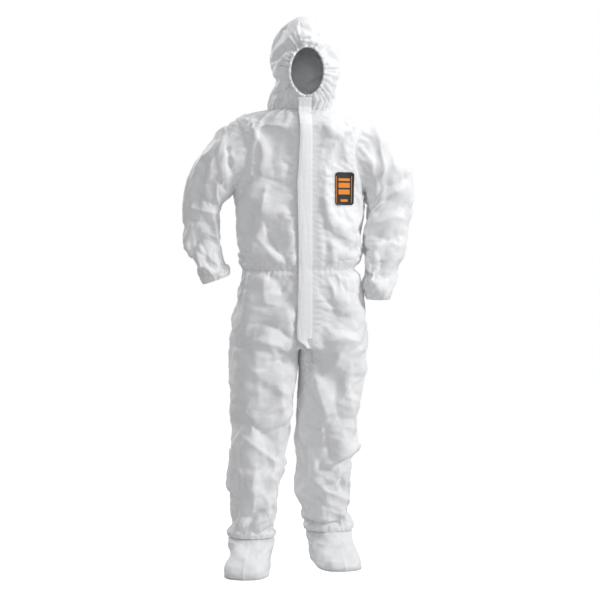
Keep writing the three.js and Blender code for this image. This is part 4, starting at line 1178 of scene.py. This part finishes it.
def build_flap(low, high, standoff, columns=22, rows=240, corner=0.0):
    """The free edge stands off over the slider, and the seamed edge runs into the left front's cloth."""
    heights = np.linspace(low, high, rows)
    seam = np.array([seam_front(z) for z in heights])
    for _ in range(4):
        seam[1:-1] = (seam[:-2] + 2 * seam[1:-1] + seam[2:]) / 4
    points = np.empty((rows, columns, 3))
    t = np.linspace(0, 1, columns)
    for row, z in enumerate(heights):
        sway = noise.noise(Vector((0.3, 1.7, z * 7))) * 0.0045 + noise.noise(Vector((0.3, 9.7, z * 23))) * 0.0014
        free = FLAP_FREE + sway + 0.006 * float(blend_in(z, up(1250), up(1420)))
        free += corner * float(1 - blend_in(z, low, low + 0.03))
        level = zip_front(z) - 0.0012 * (1 - t) - standoff * (1 - t**2)
        points[row, :, 0] = free * (1 - t) + FLAP_SEAM * t
        points[row, :, 1] = level + (seam[row] + 0.0006 - zip_front(z)) * t**2
        points[row, :, 2] = z
    points[..., 1] += facets(points, False, 0.034, 0.0011, 91, 2.6) * (1 - t)
    return points


def flat_piece(name, points, material, thick, uv_shift=(0, 0)):
    """A sheet whose face is -Y."""
    obj = cloth_piece(name, points, material, False, thick=0, uv_shift=uv_shift)
    mesh = obj.data
    normals = np.array([p.normal.y for p in mesh.polygons])
    if normals.mean() > 0:
        mesh.flip_normals()
    return thicken(obj, thick, 0)


FLAP_POINTS = build_flap(FLAP_LOW, FLAP_TOP, 0.0085, corner=0.030)
flap = flat_piece("storm_flap_cloth", FLAP_POINTS, NONWOVEN, 0.0010, (9, 0))
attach(flap, "storm_flap")
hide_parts("storm_flap")
chin_points = build_flap(up(1470), up(1550), 0.006, rows=40)
chin = flat_piece("chin_flap_cloth", chin_points, NONWOVEN, 0.0010, (9.2, 0))
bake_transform(chin)
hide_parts("chin_flap")

# ---------------------------------------------------------------- patch

# Printed film: near-black ground with plain orange bars, heat-sealed to the chest.
PATCH, patch_tree, patch_shader = finish_of("printed_film_patch", Roughness=0.42)
spot = put(patch_tree, "ShaderNodeUVMap", uv_map="cloth").outputs[0]
parts = put(patch_tree, "ShaderNodeSeparateXYZ", {"Vector": spot})


def between(tree, value, low, high):
    over = put(tree, "ShaderNodeMath", {0: value, 1: low}, operation="GREATER_THAN")
    under = put(tree, "ShaderNodeMath", {0: value, 1: high}, operation="LESS_THAN")
    return put(tree, "ShaderNodeMath", {0: over.outputs[0], 1: under.outputs[0]}, operation="MULTIPLY").outputs[0]


bars = None
PATCH_BARS = (
    (0.012, 0.056, 0.082, 0.091), (0.012, 0.056, 0.060, 0.076), (0.012, 0.056, 0.038, 0.054), (0.020, 0.048, 0.014, 0.022),
    (0.0035, 0.0055, 0.010, 0.098), (0.0625, 0.0645, 0.010, 0.098),
)
for x_low, x_high, z_low, z_high in PATCH_BARS:
    bar = put(patch_tree, "ShaderNodeMath", {
        0: between(patch_tree, parts.outputs[0], x_low, x_high),
        1: between(patch_tree, parts.outputs[1], z_low, z_high)}, operation="MULTIPLY").outputs[0]
    bars = bar if bars is None else put(patch_tree, "ShaderNodeMath", {0: bars, 1: bar}, operation="MAXIMUM").outputs[0]
ink = put(patch_tree, "ShaderNodeMix", {0: bars, 6: colour("1B1718"), 7: colour("E88A12")}, data_type="RGBA")
patch_tree.links.new(ink.outputs[2], patch_shader.inputs["Base Color"])


def build_patch():
    low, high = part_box("chest_patch")
    tree = surface_of(BODICE_POINTS, False, BODICE_PRESENT)
    rows, columns, corner = 44, 28, 0.010
    width, height = high[0] - low[0], high[2] - low[2]
    points = np.empty((rows, columns, 3))
    for row in range(rows):
        v = row / (rows - 1) * height
        for column in range(columns):
            u = (column / (columns - 1) - 0.5) * width
            over = max(corner - v, v - (height - corner), 0)
            squeeze = (width / 2 - corner + math.sqrt(max(corner**2 - over**2, 0))) / (width / 2)
            x, z = (low[0] + high[0]) / 2 + u * squeeze, low[2] + v
            points[row, column] = (x, front_of(tree, x, z, low[1]) - 0.0012, z)
    side_to_side = np.linspace(-1, 1, columns)[None]
    end_to_end = np.linspace(-1, 1, rows)[:, None]
    terms = (1.0, side_to_side, end_to_end, side_to_side**2, end_to_end**2, side_to_side * end_to_end)
    basis = np.stack(np.broadcast_arrays(*terms), -1)
    flat = basis @ np.linalg.lstsq(basis.reshape(-1, 6), points[..., 1].reshape(-1), rcond=None)[0]
    near = np.minimum(points[..., 1], flat + 0.0015)
    points[..., 1] = near - 0.0006
    return flat_piece("chest_patch_film", points, PATCH, 0.0005)


patch = build_patch()
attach(patch, "trunk")
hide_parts("chest_patch")

# ---------------------------------------------------------------- stitches and zip teeth

THREAD = mottled("polyester_thread", "E9EAEB", "D8DADD", 0.55, 0.001, 0.00005, Sheen_Weight=0.2)


def repeat_tree(material):
    """Node tree: small bars at a pitch along a path, lying along it or across it."""
    tree = bpy.data.node_groups.new("bars_along_path", "GeometryNodeTree")
    tree.interface.new_socket("Geometry", in_out="INPUT", socket_type="NodeSocketGeometry")
    for label in ("Pitch", "Bar Length", "Bar Radius"):
        tree.interface.new_socket(label, in_out="INPUT", socket_type="NodeSocketFloat")
    tree.interface.new_socket("Direction", in_out="INPUT", socket_type="NodeSocketVector")
    tree.interface.new_socket("Geometry", in_out="OUTPUT", socket_type="NodeSocketGeometry")
    given = put(tree, "NodeGroupInput").outputs
    path = put(tree, "GeometryNodeMeshToCurve", {"Mesh": given["Geometry"]})
    even = put(tree, "GeometryNodeResampleCurve", {"Curve": path.outputs[0], "Length": given["Pitch"]}, mode="LENGTH")
    tangent = put(tree, "GeometryNodeInputTangent")
    facing = put(tree, "ShaderNodeVectorMath", {0: tangent.outputs[0], 1: given["Direction"]})
    turned = put(tree, "FunctionNodeAlignRotationToVector", {"Vector": facing.outputs[0]}, axis="Z")
    bar = put(tree, "GeometryNodeMeshCylinder", {"Vertices": 6, "Radius": given["Bar Radius"], "Depth": given["Bar Length"]})
    placed = put(tree, "GeometryNodeInstanceOnPoints",
                 {"Points": even.outputs[0], "Instance": bar.outputs["Mesh"], "Rotation": turned.outputs[0]})
    real = put(tree, "GeometryNodeRealizeInstances", {"Geometry": placed.outputs[0]})
    done = put(tree, "GeometryNodeSetMaterial", {"Geometry": real.outputs[0], "Material": material})
    put(tree, "NodeGroupOutput", {"Geometry": done.outputs[0]})
    return tree


STITCHES, TEETH = repeat_tree(THREAD), repeat_tree(COIL)


def bars_on(name, tree, paths, pitch, length, radius, direction=(0, 0, 0)):
    """One piece of bars along open paths of points; a direction much longer than 1 lays them that way."""
    points, edges = [], []
    for path in paths:
        first = len(points)
        points += [tuple(p) for p in path]
        edges += [(first + k, first + k + 1) for k in range(len(path) - 1)]
    mesh = bpy.data.meshes.new(name)
    mesh.from_pydata(points, edges, [])
    obj = in_scene(name, mesh)
    modifier = obj.modifiers.new("bars", "NODES")
    modifier.node_group = tree
    values = {"Pitch": pitch, "Bar Length": length, "Bar Radius": radius, "Direction": direction}
    for item in tree.interface.items_tree:
        if item.in_out == "INPUT" and item.name in values:
            modifier[item.identifier] = values[item.name]
    bake(obj)
    return obj


def raised(points, closed, by=0.0004):
    """A grid's points lifted a little off the cloth."""
    return points + outward(points, closed) * by


def sewn(name, paths, body):
    obj = bars_on(name, STITCHES, paths, 0.0042, 0.0032, 0.00034)
    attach(obj, body)
    return obj


def ring_path(row):
    return np.concatenate([row, row[:1]])


flap_face = FLAP_POINTS + np.array([0, -0.0008, 0])
FLAP_SEWN = sewn("flap_stitches", [flap_face[4:-4, 2], flap_face[4:-4, 17]], "storm_flap")
bodice_face = raised(BODICE_POINTS, False)
WAIST_SEWN = sewn("waist_stitches", [bodice_face[2], bodice_face[5]], "trunk")
BACK_SEWN = sewn("centre_back_stitches", [bodice_face[6:-3, BODY_COLUMNS // 2]], "trunk")
ARMHOLE_SEWN, CUFF_SEWN = {}, {}
for side, name in SIDE_NAMES.items():
    armhole = armhole_ring(side, np.linspace(0, 2 * math.pi, 90), 0.0) + np.array([side * 0.0012, 0, 0])
    ARMHOLE_SEWN[side] = sewn(f"{name}_armhole_stitches", [armhole], "trunk")
    sleeve_face = raised(SLEEVE_PIECES[side][0], True)
    CUFF_SEWN[side] = sewn(f"{name}_cuff_stitches", [ring_path(sleeve_face[-6])], f"{name}_forearm")
hood_tree = surface_of(HOOD_POINTS, True)
CROWN_HEIGHT = up(1655)
crown_seams = []
for x in (FACE_MIDDLE.x - 0.038, FACE_MIDDLE.x + 0.038):
    seam = []
    for degrees in range(50, 205, 2):
        a = math.radians(degrees)
        out = Vector((0, -math.cos(a), math.sin(a)))
        hit = hood_tree.ray_cast(Vector((x, 0, CROWN_HEIGHT)) + out * 0.4, -out)
        if hit[0] is not None:
            seam.append(hit[0] + out * 0.0005)
    crown_seams.append(seam)
HOOD_SEWN = sewn("hood_seam_stitches", crown_seams, "hood")
for side, name in SIDE_NAMES.items():
    coil_low, coil_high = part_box(f"zip_coil_{name}")
    x = (coil_low[0] + coil_high[0]) / 2
    line = [(x, coil_low[1] - 0.0002, z) for z in np.linspace(coil_low[2] + 0.001, coil_high[2] - 0.001, 60)]
    teeth = bars_on(f"zip_teeth_{name}", TEETH, [line], 0.0024, 0.0030, 0.00055, (60, 0, 0))
    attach(teeth, "trunk")

# ---------------------------------------------------------------- carried-over hard parts

FINISHES = {
    "zip_tape_right": TAPE, "zip_tape_left": TAPE, "zip_coil_right": COIL, "zip_coil_left": COIL,
    "zip_bottom_stop": SLIDER, "zip_top_stop": SLIDER, "zip_slider": SLIDER, "pull_tab": SLIDER,
    "neck_label": SATIN, "flap_bar_tack": TAPE, "right_boot_sole": COATED, "left_boot_sole": COATED,
}
for node_name, material in FINISHES.items():
    node = frame["nodes"][node_name]
    node.data.materials.clear()
    node.data.materials.append(material)
